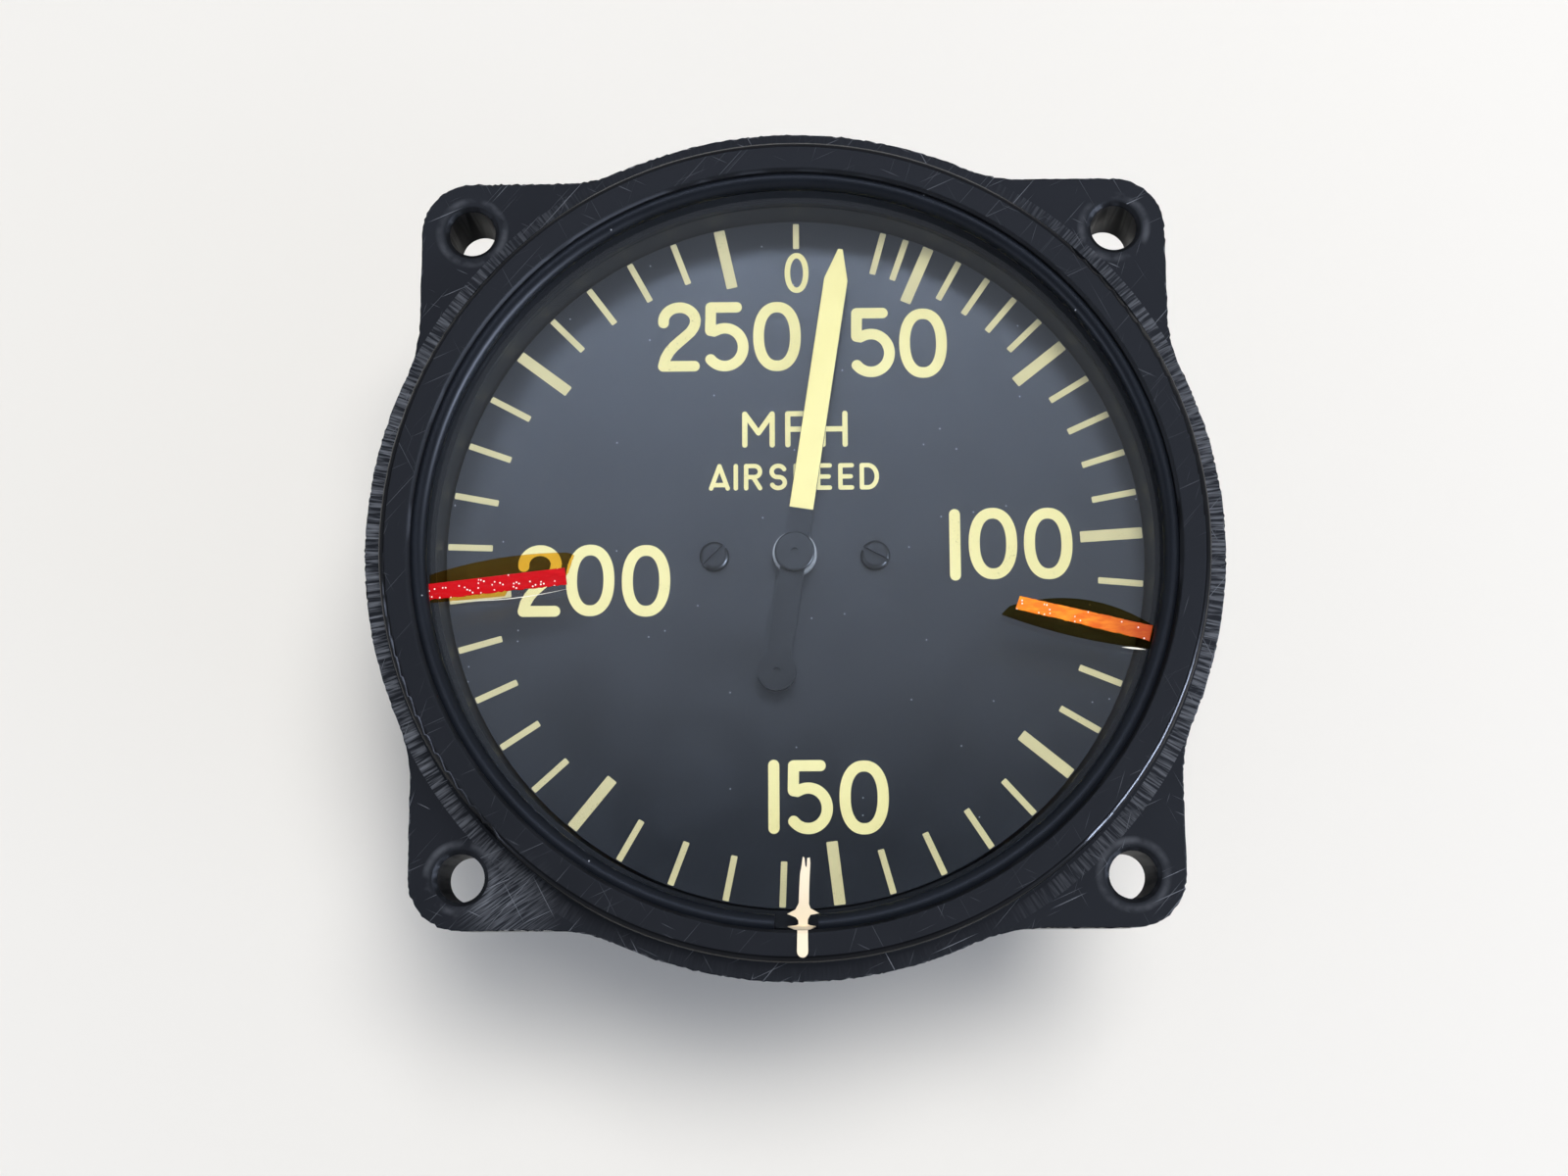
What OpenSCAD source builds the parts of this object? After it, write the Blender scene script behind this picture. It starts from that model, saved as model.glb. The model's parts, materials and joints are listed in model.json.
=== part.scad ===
// Panel airspeed indicator: moulded case, glazed dial and a capsule movement.
// The origin is the centre of the flange's front face, +Z looks out of the dial
// and +Y points to the zero mark. All sizes are millimetres.

/* [Case] */
// Diameter of the mounting flange
flange_d = 82.3; // [81:0.1:83.5]
// Thickness of the flange and its lugs
flange_t = 8.5; // [5:0.1:10]
// Distance between neighbouring lug holes
lug_pitch = 62.86; // [62:0.01:64]
// Radius of a lug's outer corner about its hole
lug_end_r = 4.9; // [4.5:0.1:5.4]
// Radius of the hollow blend from a lug to the flange
lug_blend_r = 14; // [10:0.5:18]
// Diameter of a lug hole
lug_hole_d = 4.5; // [3.6:0.1:5.2]
// Width of the chamfer at a lug hole's mouth
lug_chamfer = 0.4; // [0.2:0.05:0.6]
// Diameter of the body just behind the flange
body_d = 77; // [75:0.1:79]
// Amount by which the body narrows in diameter to the back
body_draft = 1.4; // [0.6:0.1:2]
// Radius of the edge round the back
back_edge_r = 2.5; // [1.5:0.1:3.5]
// Depth from the flange's front face to the back
case_depth = 56; // [55:0.5:62]
// Thickness of the back wall
back_wall = 4.5; // [4:0.1:5]
// Height of the bosses that stand on the inside of the back wall
boss_h = 4.5; // [4:0.1:5]
// Thickness of the body's wall just behind the flange
case_wall = 3.9; // [3.6:0.1:4.2]

/* [Glazing] */
// Diameter of the raised ring that enters the panel's cut-out
ring_d = 78.8; // [78:0.1:79.4]
// Height of the raised ring above the flange
ring_h = 3; // [2.9:0.1:3.6]
// Radius of the raised ring's outer edge
ring_edge_r = 0.7; // [0.3:0.05:0.9]
// Chamfer of the raised ring's inner edge
ring_chamfer = 0.3; // [0.1:0.05:0.45]
// Diameter of the glass
glass_d = 72.4; // [72:0.1:72.8]
// Thickness of the glass
glass_t = 2.5; // [2:0.1:2.8]
// Height of the glass's face above the flange
glass_face = 0.3; // [0:0.05:0.4]
// Radial clearance round the glass
glass_clearance = 0.2; // [0.1:0.05:0.3]
// Thickness of the rubber gasket under the glass
gasket_t = 0.8; // [0.5:0.1:1.2]
// Wire diameter of the snap ring
snap_wire_d = 2; // [1.8:0.1:2.2]
// Depth of the snap ring's groove
snap_groove = 0.6; // [0.5:0.05:0.8]
// Clearance of the snap ring in its groove
snap_clearance = 0.03; // [0.02:0.01:0.1]
// Opening between the snap ring's ends, in degrees
snap_gap = 6.5; // [4:0.5:24]
// Middle of that opening, in degrees clockwise from the zero mark
snap_gap_at = 180; // [0:0.5:359.5]

/* [Dial] */
// Bore of the flange behind the glass, which holds the dial
window_d = 69.2; // [69:0.1:69.8]
// Radial clearance round the dial
dial_clearance = 0.3; // [0.2:0.05:0.8]
// Thickness of the dial
dial_t = 0.8; // [0.5:0.1:1.2]
// Depth of the dial's face below the flange's front face
dial_depth = 7; // [6.8:0.1:7.6]
// Distance between the two dial screws
dial_screw_pitch = 15.8; // [14:0.1:20]
// Head diameter of a dial screw
dial_screw_head_d = 2.9; // [2.4:0.1:3.4]
// Head height of a dial screw
dial_screw_head_h = 0.9; // [0.6:0.1:1.1]
// Rounding of a dial screw's head
dial_screw_edge_r = 0.45; // [0.2:0.05:0.5]
// Shank diameter of a dial screw
dial_screw_d = 1.6; // [1.2:0.1:1.8]
// Width of the slots in the screw heads
slot_w = 0.4; // [0.3:0.05:0.6]

/* [Pointer] */
// Distance from the pointer's tip to the edge of the dial
tip_margin = 3.3; // [2:0.1:8]
// Width of the pointer
pointer_w = 2.4; // [1.8:0.1:3]
// Thickness of the pointer
pointer_t = 0.5; // [0.3:0.05:0.7]
// Length of the pointer's tapered tip
tip_len = 3.2; // [2:0.1:5]
// Flat left at the very tip
tip_flat = 0.5; // [0.3:0.05:0.8]
// Distance from the axis to the middle of the counterweight
tail_len = 11.75; // [9.5:0.25:14]
// Diameter of the counterweight
counterweight_d = 3.8; // [3:0.1:5]
// Depth of the counterweight below the pointer
counterweight_t = 0.4; // [0.2:0.1:0.6]
// Diameter of the bush under the pointer
bush_d = 4.3; // [3.8:0.1:5]
// Height of the bush under the pointer
bush_h = 1.25; // [1:0.05:1.4]
// Gap between the dial's face and the bush
bush_lift = 0.7; // [0.6:0.05:0.8]
// Diameter of the cap over the pointer
hub_cap_d = 3.9; // [3.6:0.1:4.2]
// Height of the cap over the pointer
hub_cap_h = 0.65; // [0.5:0.05:0.8]
// Rounding of the cap's edge
hub_edge_r = 0.2; // [0.1:0.05:0.3]
// Diameter of the bush's spigot through the pointer
hub_spigot_d = 2.2; // [2:0.1:2.4]
// Amount by which the cap hides the pointer's hub all round
hub_margin = 0.15; // [0.1:0.05:0.2]
// Diameter of the small dimples in the cap and the counterweight
dimple_d = 0.7; // [0.4:0.1:1]
// Angle at which the pointer rests, in degrees past the zero mark
pointer_rest = 8.8; // [0:0.1:20]
// Angle of the last mark of the scale, in degrees past the zero mark
scale_end = 347.4; // [330:0.1:350]

/* [Frame] */
// Diameter of the two plates
plate_d = 58; // [57:0.5:62]
// Thickness of the two plates
plate_t = 1.6; // [1.4:0.1:1.8]
// Distance between the two plates
plate_gap = 10.6; // [10.4:0.1:11.4]
// Distance from a plate's edge to the middle of its pillars
pillar_inset = 4; // [3.6:0.1:4.4]
// Diameter of a pillar
pillar_d = 4.6; // [4:0.1:5.4]
// Diameter of a post
post_d = 5; // [4.6:0.1:5.6]
// Diameter of the studs on the posts
stud_d = 2.4; // [2:0.1:2.6]
// Depth of the tapped holes
tap_depth = 4; // [3:0.1:4.5]
// Shank diameter of the plate screws
plate_screw_d = 2; // [1.6:0.1:2.2]
// Thickness of the base plate
base_t = 2.5; // [2:0.1:3]
// Diameter of the middle of the base plate
base_d = 26; // [22:0.5:27]
// Width of the base plate's three arms
spoke_w = 8; // [6:0.1:9]
// Diameter of the base plate's ears and of the bosses under them
ear_d = 10; // [9:0.1:11]
// Shank diameter of the base screws
base_screw_d = 3; // [2.6:0.1:3.2]
// Head diameter of a base screw
base_screw_head_d = 6; // [5.4:0.1:6.4]
// Head height of a base screw
base_screw_head_h = 2; // [1.6:0.1:2.2]
// Amount by which a base screw's head lies below the back
head_recess = 0.4; // [0.2:0.1:0.8]
// Diameter of the counterbore round a base screw's head
counterbore_d = 7.4; // [7:0.1:8]
// Thickness of the sealing washer under a base screw
washer_t = 0.6; // [0.4:0.1:0.8]
// Amount by which the washer is wider than the head
washer_margin = 0.4; // [0:0.1:0.5]
// Radial clearance of screws in plain holes
screw_clearance = 0.15; // [0.1:0.05:0.25]
// Radial clearance of turning pivots
pivot_clearance = 0.03; // [0.02:0.01:0.05]
// Radial clearance of pieces fixed on a shaft or in a hole
fixed_clearance = 0.01; // [0.01:0.005:0.03]
// Play of a shaft along its axis
end_shake = 0.2; // [0.1:0.05:0.3]

/* [Gears] */
// Module of the teeth
gear_module = 0.35; // [0.34:0.005:0.36]
// Teeth of the pinion
pinion_teeth = 12; // [11:1:13]
// Teeth that the sector would have as a full wheel
wheel_teeth = 120; // [116:2:124]
// Teeth that the sector has
sector_teeth = 17; // [15:2:19]
// Pressure angle of the teeth
pressure_angle = 20; // [18:0.5:24]
// Play between the flanks at the pitch circle
backlash = 0.08; // [0.06:0.01:0.12]
// Straight steps along a tooth's flank
flank_steps = 4; // [3:1:6]
// Thickness of the sector
sector_t = 1.2; // [0.8:0.1:1.4]
// Height of the sector above the rear plate
sector_lift = 5; // [4.8:0.1:5.2]
// Width of the sector's spokes
sector_spoke = 2.2; // [1.8:0.1:2.6]
// Width of the sector's rim behind the teeth
sector_rim = 3; // [2.4:0.1:3.6]
// Length of the pinion
pinion_len = 2.4; // [1.8:0.1:2.6]
// Diameter of the hand staff and of the sector's arbor
staff_d = 1.6; // [1.4:0.05:1.8]
// Diameter of the pivots in the plates
pivot_d = 0.8; // [0.6:0.05:1]
// Diameter of the staff's bush in the front plate
front_bush_d = 3.6; // [3.2:0.1:3.8]
// Diameter of the staff's bush in the rear plate
rear_bush_d = 3; // [2.6:0.1:3.4]
// Width of the flange on each bush
bush_flange_w = 1; // [0.6:0.1:1.4]
// Thickness of the flange on each bush
bush_flange_t = 0.8; // [0.6:0.1:1]

/* [Linkage] */
// Distance from the rocking shaft to the capsule's axis
capsule_arm_len = 7; // [6.5:0.1:7.5]
// Distance from the rocking shaft to where its arm meets the sector's pin
sector_arm_len = 12; // [11.5:0.1:12.5]
// Distance from the sector's axis to its pin
pin_offset = 5; // [4.8:0.1:5.2]
// Diameter of the sector's pin
pin_d = 1; // [0.8:0.05:1.2]
// Length of the sector's pin behind the sector
pin_len = 3.6; // [3.2:0.1:4]
// Length of the pin beyond the middle of its contact with the arm
pin_grip = 1.2; // [0.8:0.1:1.4]
// Diameter of the rocking shaft
rocker_d = 1.8; // [1.6:0.1:2.2]
// Thickness of the two arms on the rocking shaft
arm_t = 0.8; // [0.6:0.1:1]
// Width of the two arms on the rocking shaft
arm_w = 2.4; // [2:0.1:2.8]
// Free room beside an arm
arm_room = 0.6; // [0.5:0.1:0.9]
// Wall of the small hubs and pads
hub_wall = 0.9; // [0.7:0.1:1.1]
// Radius of the nose that rests on the capsule's boss
nose_r = 0.9; // [0.7:0.05:1.1]
// Radius of the rounded end that meets the sector's pin
finger_r = 0.6; // [0.5:0.05:0.7]
// Clearance left at the sliding contacts
contact_gap = 0.1; // [0.08:0.01:0.15]
// Distance from the axis to the nearer bearing of the rocking shaft
near_bearing_x = 6; // [5:0.1:8]
// Width of a bearing along the shaft
bearing_w = 3; // [2.4:0.1:3.4]
// Length of a bearing across the shaft
bearing_l = 5; // [4.4:0.1:5.6]
// Shank diameter of a bearing's screw
bearing_screw_d = 1.4; // [1.2:0.1:1.5]

/* [Capsule] */
// Diameter of the capsule
capsule_d = 40; // [36:0.5:42]
// Thickness of a diaphragm
diaphragm_t = 0.3; // [0.2:0.05:0.4]
// Height by which a diaphragm's middle stands off its rim
dome_h = 2.2; // [1.8:0.1:2.6]
// Number of corrugations in a diaphragm
corrugations = 4; // [3:1:5]
// Height of a corrugation
corrugation_h = 0.7; // [0.4:0.05:0.9]
// Width of the flat rim where the diaphragms are joined
rim_w = 1.6; // [1.2:0.1:2]
// Diameter of the flat middle of a diaphragm
centre_d = 9; // [8:0.5:11]
// Height of the boss on the capsule
capsule_boss_h = 3; // [2.4:0.1:3.2]
// Diameter of the boss on the capsule
capsule_boss_d = 5; // [4:0.1:5.6]
// Height of the boss's foot
boss_foot_h = 0.8; // [0.6:0.1:1]
// Diameter of the stem between the base plate and the capsule
stem_d = 5; // [4.4:0.1:5.6]
// Diameter of the flanges on the stem
stem_flange_d = 8; // [7:0.1:8.6]
// Thickness of the flanges on the stem
stem_flange_t = 1.2; // [0.8:0.1:1.4]
// Diameter of the stem's tip inside the capsule
stem_tip_d = 4; // [3.6:0.1:4.2]

/* [Hairspring] */
// Turns of the hairspring
spring_turns = 5; // [4:1:6]
// Thickness of the hairspring's ribbon
ribbon_t = 0.16; // [0.12:0.01:0.2]
// Width of the hairspring's ribbon
ribbon_w = 1; // [0.8:0.1:1.2]
// Radius at the outer end of the hairspring
spring_r = 8; // [7.5:0.1:9]
// Direction of the hairspring's outer end, in degrees from +X
spring_at = 55; // [30:1:80]
// Distance from the front plate to the far edge of the hairspring
spring_drop = 3; // [2.8:0.1:3.2]
// Diameter of the hairspring's collet
collet_d = 3.4; // [3:0.1:3.8]
// Length of the collet and the stud beyond the ribbon
collet_margin = 0.3; // [0.2:0.05:0.4]
// Diameter of the stud that holds the hairspring
spring_stud_d = 1.8; // [1.4:0.1:2.2]

/* [Ports] */
// Bore of a port: the tapping size of a one-eighth inch taper pipe thread
port_bore_d = 8.73; // [8.5:0.01:8.9]
// Depth of a port's bore
port_depth = 6.5; // [6:0.1:6.8]
// Outer diameter of a port's insert
insert_d = 14; // [13:0.1:14.6]
// Depth of the groove that locks an insert in the moulding
insert_groove = 0.8; // [0.5:0.1:1]
// Wall of the moulding round an insert
insert_wall = 3; // [2.5:0.1:3.4]
// Bore of the air passages
passage_d = 2.4; // [1.6:0.1:2.8]
// Distance of the static port from the axis
static_offset = 22; // [21:0.25:23]

/* [Hidden] */
$fn = 96;
// Length by which a cutting body runs past the faces that it cuts
cut = 1;

// Pieces that fit inside one another
chamber_d = body_d - 2 * case_wall;
dial_d = window_d - 2 * dial_clearance;
pointer_len = dial_d / 2 - tip_margin;
pillar_r = plate_d / 2 - pillar_inset;

// Levels along Z, from the front to the back
ring_bore_r = glass_d / 2 + glass_clearance;
glass_back = glass_face - glass_t;
ledge_z = glass_back - gasket_t;
dial_face = -dial_depth;
dial_back = dial_face - dial_t;
front_plate_back = dial_back - plate_t;
rear_plate_front = front_plate_back - plate_gap;
rear_plate_back = rear_plate_front - plate_t;
back_z = -case_depth;
floor_z = back_z + back_wall;
base_back = floor_z + boss_h;
base_front = base_back + base_t;
bush_back = dial_face + bush_lift;
pointer_back = bush_back + bush_h;
pointer_front = pointer_back + pointer_t;
hub_top = pointer_front + hub_cap_h;
snap_r = ring_bore_r + snap_groove - snap_wire_d / 2;
snap_z = glass_face + snap_wire_d / 2 + snap_clearance;

// Lugs: each blend's circle touches the flange's edge and a lug's straight side
flange_r = flange_d / 2;
lug_at = lug_pitch / 2;
lug_side = lug_at + lug_end_r;
blend_across = lug_side + lug_blend_r;
blend_along = sqrt((flange_r + lug_blend_r) ^ 2 - blend_across ^ 2);
blend_touch = flange_r / (flange_r + lug_blend_r);

// Gears: the sector's axis lies beside its arm, one centre distance from the hand staff
pinion_r = gear_module * pinion_teeth / 2;
wheel_r = gear_module * wheel_teeth / 2;
sector_y = capsule_arm_len + finger_r + contact_gap + pin_d / 2;
sector_x = -sqrt((pinion_r + wheel_r) ^ 2 - sector_y ^ 2);
mesh_angle = atan2(-sector_y, -sector_x);
tooth_t = PI * gear_module / 2 - backlash / 2;
sector_half = sector_teeth / 2 * 360 / wheel_teeth;
sector_root = wheel_r - 1.3 * gear_module;
sector_tip = wheel_r + 0.55 * gear_module;
pinion_root = pinion_r - 1.2 * gear_module;
pinion_tip = pinion_r + gear_module;
sector_z = rear_plate_front + sector_lift;
pinion_z = sector_z - (pinion_len - sector_t) / 2;

// Motion: each piece is posed from the pointer's angle, with square arms at mid travel
mid_angle = scale_end / 2;
gear_ratio = pinion_teeth / wheel_teeth;
arm_ratio = pin_offset / sector_arm_len;
sector_turn = (pointer_rest - mid_angle) * gear_ratio;
rocker_turn = sector_turn * arm_ratio;
rocker_half = mid_angle * gear_ratio * arm_ratio;
boss_slide = capsule_arm_len * rocker_turn * PI / 180;

// Linkage and capsule, from the sector's pin back to the stem
pin_x = sector_x + pin_offset;
rocker_y = capsule_arm_len;
rocker_z = sector_z - pin_len + pin_grip - sector_arm_len;
far_bearing_x = pin_x + arm_w / 2 + arm_room + bearing_w / 2;
arm_hub_d = rocker_d + 2 * hub_wall;
boss_front = rocker_z - nose_r - contact_gap + boss_slide;
boss_back = boss_front - capsule_boss_h;
capsule_mid = boss_back - diaphragm_t - dome_h;
capsule_back = capsule_mid - diaphragm_t - dome_h;
spring_z = front_plate_back - spring_drop;
spring_bore_r = collet_d / 2 + ribbon_t;

// Base screws, from the back: counterbore, washer and head
counterbore_z = back_z + washer_t + base_screw_head_h + head_recess;
base_head_z = counterbore_z - washer_t - base_screw_head_h;

// Places one copy at each of the four lugs
module at_lugs() {
    for (x = [-lug_at, lug_at], y = [-lug_at, lug_at])
        translate([x, y, 0])
            children();
}

// Places one copy at each pillar, which the posts and base screws share
module at_pillars() {
    for (a = [90, 210, 330])
        rotate(a)
            translate([pillar_r, 0, 0])
                children();
}

// Places one copy at each dial screw
module at_dial_screws() {
    for (x = [-dial_screw_pitch / 2, dial_screw_pitch / 2])
        translate([x, 0, 0])
            children();
}

// Places one copy at each bearing of the rocking shaft
module at_bearings() {
    for (x = [near_bearing_x, far_bearing_x])
        translate([x, rocker_y, 0])
            children();
}

// Places a piece on the rocking shaft, turned to its resting pose
module on_rocker() {
    translate([0, rocker_y, rocker_z])
        rotate([-rocker_turn, 0, 0])
            children();
}

// Places a piece on the sector's axis, turned to its resting pose
module on_sector() {
    translate([sector_x, sector_y, 0])
        rotate(sector_turn)
            children();
}

// Upright rod between two levels
module rod(d, from, to) {
    translate([0, 0, from])
        cylinder(d = d, h = to - from);
}

// Upright rod whose front edge is rounded
module button(d, edge_r, from, to) {
    translate([0, 0, from])
        rotate_extrude() {
            square([d / 2, to - from - edge_r]);
            square([d / 2 - edge_r, to - from]);
            translate([d / 2 - edge_r, to - from - edge_r])
                intersection() {
                    circle(r = edge_r);
                    square(edge_r);
                }
        }
}

// Upright tube between two levels
module tube(d, bore, from, to) {
    difference() {
        rod(d, from, to);
        rod(bore, from - cut, to + cut);
    }
}

// Rod along X between two places
module cross_rod(d, from, to) {
    translate([from, 0, 0])
        rotate([0, 90, 0])
            cylinder(d = d, h = to - from);
}

// Flat-headed screw with its face at z = 0, or its hole when grown by a clearance
module flat_screw(d, len, grow = 0) {
    rotate_extrude()
        polygon([[0, grow], [d * 0.95 + grow, grow], [d * 0.95 + grow, 0],
            [d / 2 + grow, -d * 0.45], [d / 2 + grow, -len], [0, -len]]);
}

// Screwdriver slot across a head whose face is at z = 0
module slot(d, depth) {
    translate([-d, -slot_w / 2, -depth])
        cube([2 * d, slot_w, depth + cut]);
}

// One corner of the flange: a lug with a hollow blend on each side
module lug_corner() {
    side = [lug_side, blend_along];
    rim = [blend_across, blend_along] * blend_touch;
    difference() {
        polygon([[0, 0], rim, side, [lug_side, lug_at], [lug_at, lug_at], [lug_at, lug_side],
            [side.y, side.x], [rim.y, rim.x]]);
        translate([blend_across, blend_along])
            circle(r = lug_blend_r);
        translate([blend_along, blend_across])
            circle(r = lug_blend_r);
    }
    translate([lug_at, lug_at])
        circle(r = lug_end_r);
}

// Flange with its four lugs
module flange() {
    translate([0, 0, -flange_t])
        linear_extrude(flange_t) {
            circle(r = flange_r);
            for (a = [0:90:270])
                rotate(a)
                    lug_corner();
        }
}

// Half section of the drafted body and of the raised ring, without their hollow
module case_section() {
    back_r = (body_d - body_draft) / 2;
    polygon([[0, back_z], [back_r - back_edge_r, back_z], [back_r - back_edge_r, back_z + back_edge_r],
        [back_r, back_z + back_edge_r], [body_d / 2, -flange_t], [body_d / 2, -flange_t / 2],
        [0, -flange_t / 2]]);
    intersection() {
        translate([back_r - back_edge_r, back_z + back_edge_r])
            circle(r = back_edge_r);
        translate([back_r - back_edge_r, back_z])
            square(back_edge_r);
    }
    translate([0, -flange_t / 2])
        square([ring_d / 2, flange_t / 2 + ring_h - ring_edge_r]);
    square([ring_d / 2 - ring_edge_r, ring_h]);
    translate([ring_d / 2 - ring_edge_r, ring_h - ring_edge_r])
        circle(r = ring_edge_r);
}

// Half section of the hollow: chamber, window, glass seat and the chamfer at the mouth
module hollow_section() {
    mouth = ring_chamfer + cut;
    translate([0, floor_z])
        square([chamber_d / 2, -flange_t - floor_z]);
    translate([0, -flange_t])
        square([window_d / 2, flange_t + ring_h + cut]);
    translate([0, ledge_z])
        square([ring_bore_r, ring_h - ledge_z + cut]);
    translate([ring_bore_r, ring_h - ring_chamfer])
        polygon([[-cut, 0], [0, 0], [mouth, mouth], [-cut, mouth]]);
}

// Outer form of a port's insert, with the groove that locks it in the moulding
module insert_form(d) {
    third = (base_back - back_z) / 3;
    rotate_extrude()
        polygon([[0, back_z], [d / 2, back_z], [d / 2, back_z + third],
            [d / 2 - insert_groove, back_z + 1.2 * third], [d / 2 - insert_groove, back_z + 1.8 * third],
            [d / 2, back_z + 2 * third], [d / 2, base_back], [0, base_back]]);
}

// Insert with its tapping bore, drill point and air passage
module port_insert() {
    drill_h = (port_bore_d - passage_d) / 4;
    difference() {
        insert_form(insert_d);
        rod(port_bore_d, back_z - cut, back_z + port_depth);
        translate([0, 0, back_z + port_depth])
            cylinder(d1 = port_bore_d, d2 = passage_d, h = drill_h);
        rod(passage_d, back_z, base_back + cut);
    }
}

// Moulded case: flange and lugs, raised ring, glass seat, inner bosses and back
module case() {
    boss_d = insert_d + 2 * insert_wall;
    color("#1d1f23")
        difference() {
            union() {
                difference() {
                    union() {
                        flange();
                        rotate_extrude()
                            case_section();
                    }
                    rotate_extrude()
                        hollow_section();
                }
                rod(boss_d, floor_z - back_wall / 2, base_back);
                translate([0, -static_offset, 0])
                    rod(boss_d, floor_z - back_wall / 2, base_back);
                at_pillars()
                    rod(ear_d, floor_z - back_wall / 4, base_back);
            }
            rotate_extrude()
                translate([snap_r, snap_z])
                    circle(d = snap_wire_d + 2 * snap_clearance);
            at_lugs() {
                rod(lug_hole_d, -flange_t - cut, cut);
                translate([0, 0, -lug_chamfer])
                    cylinder(d1 = lug_hole_d, d2 = lug_hole_d + 4 * lug_chamfer, h = 2 * lug_chamfer);
            }
            insert_form(insert_d + 2 * fixed_clearance);
            translate([0, -static_offset, 0])
                insert_form(insert_d + 2 * fixed_clearance);
            at_pillars() {
                rod(counterbore_d, back_z - cut, counterbore_z);
                rod(base_screw_d + 2 * screw_clearance, back_z, base_back + cut);
            }
        }
}

// Brass insert of the pitot port, on the axis
module pitot_port_insert() {
    color("#b8974a")
        port_insert();
}

// Brass insert of the static port, open to the chamber
module static_port_insert() {
    color("#b8974a")
        translate([0, -static_offset, 0])
            port_insert();
}

// Flat cover glass
module glass() {
    color("#cfe0e6", 0.3)
        rod(glass_d, glass_back, glass_face);
}

// Rubber gasket between the case's ledge and the glass
module glass_gasket() {
    color("#3b3e44")
        tube(glass_d, window_d, ledge_z, glass_back);
}

// Split wire ring that holds the glass down
module snap_ring() {
    color("#30343c")
        rotate(90 - snap_gap_at + snap_gap / 2)
            rotate_extrude(angle = 360 - snap_gap)
                translate([snap_r, snap_z])
                    circle(d = snap_wire_d);
}

// Thin dial disc with holes for the staff's bush and its two screws
module dial() {
    color("#2b2e36")
        difference() {
            tube(dial_d, front_bush_d + 2 * screw_clearance, dial_back, dial_face);
            at_dial_screws()
                rod(dial_screw_d + 2 * screw_clearance, dial_back - cut, dial_face + cut);
        }
}

// Two slotted screws that hold the dial on the front plate
module dial_screws() {
    head_top = dial_face + dial_screw_head_h;
    color("#3a3d45")
        for (side = [0, 1])
            translate([(side - 0.5) * dial_screw_pitch, 0, 0])
                difference() {
                    union() {
                        button(dial_screw_head_d, dial_screw_edge_r, dial_face, head_top);
                        rod(dial_screw_d, front_plate_back, dial_face);
                    }
                    translate([0, 0, head_top])
                        rotate(side == 0 ? 45 : -28)
                            slot(dial_screw_head_d, dial_screw_head_h * 0.4);
                }
}

// Flat hand with an arrow tip and a round counterweight on its tail
module pointer() {
    half = pointer_w / 2;
    shoulder = pointer_len - tip_len;
    color("#efe6ab")
        rotate(-pointer_rest)
            difference() {
                union() {
                    translate([0, 0, pointer_back])
                        linear_extrude(pointer_t) {
                            polygon([[-half, -tail_len], [half, -tail_len], [half, shoulder],
                                [tip_flat / 2, pointer_len], [-tip_flat / 2, pointer_len],
                                [-half, shoulder]]);
                            circle(d = hub_cap_d - 2 * hub_margin);
                        }
                    translate([0, -tail_len, 0])
                        rod(counterweight_d, pointer_back - counterweight_t, pointer_front);
                }
                rod(hub_spigot_d + 2 * fixed_clearance, pointer_back - cut, pointer_front + cut);
                translate([0, -tail_len, 0])
                    rod(dimple_d, pointer_front - pointer_t / 2, pointer_front + cut);
            }
}

// Bush on the staff, with the spigot through the hand and the cap over it
module pointer_bush() {
    color("#c9ccd0")
        difference() {
            union() {
                rod(bush_d, bush_back, pointer_back);
                rod(hub_spigot_d, bush_back, hub_top);
                button(hub_cap_d, hub_edge_r, pointer_front, hub_top);
            }
            rod(staff_d + 2 * fixed_clearance, bush_back - cut, pointer_front);
            rod(dimple_d, hub_top - hub_cap_h / 3, hub_top + cut);
        }
}

// Three-armed plate on the inner bosses, clamped by the base screws
module base_plate() {
    color("#b9a066")
        difference() {
            union() {
                rod(base_d, base_back, base_front);
                at_pillars()
                    rod(ear_d, base_back, base_front);
                for (a = [90, 210, 330])
                    rotate(a)
                        translate([0, -spoke_w / 2, base_back])
                            cube([pillar_r, spoke_w, base_t]);
            }
            rod(stem_d + 2 * fixed_clearance, base_back - cut, base_front + cut);
            at_pillars()
                rod(base_screw_d + 2 * screw_clearance, base_back - cut, base_front + cut);
        }
}

// Three slotted screws through the back wall and the base plate into the posts
module base_screws() {
    color("#8d8f92")
        at_pillars()
            difference() {
                union() {
                    rod(base_screw_head_d, base_head_z, base_head_z + base_screw_head_h);
                    rod(base_screw_d, base_head_z, base_front + tap_depth);
                }
                translate([0, 0, base_head_z])
                    mirror([0, 0, 1])
                        slot(base_screw_head_d, base_screw_head_h * 0.4);
            }
}

// Sealing washers under the heads of the base screws
module base_screw_washers() {
    color("#5a2e22")
        at_pillars()
            tube(base_screw_head_d + washer_margin, base_screw_d + 2 * screw_clearance,
                counterbore_z - washer_t, counterbore_z);
}

// Three posts that carry the movement, tapped for the base screws and ending in studs
module frame_posts() {
    color("#c2a55a")
        at_pillars()
            difference() {
                union() {
                    rod(post_d, base_front, rear_plate_back);
                    rod(stud_d, base_front, rear_plate_front + tap_depth);
                }
                rod(base_screw_d + 2 * fixed_clearance, base_front - cut, base_front + tap_depth + cut);
            }
}

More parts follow.
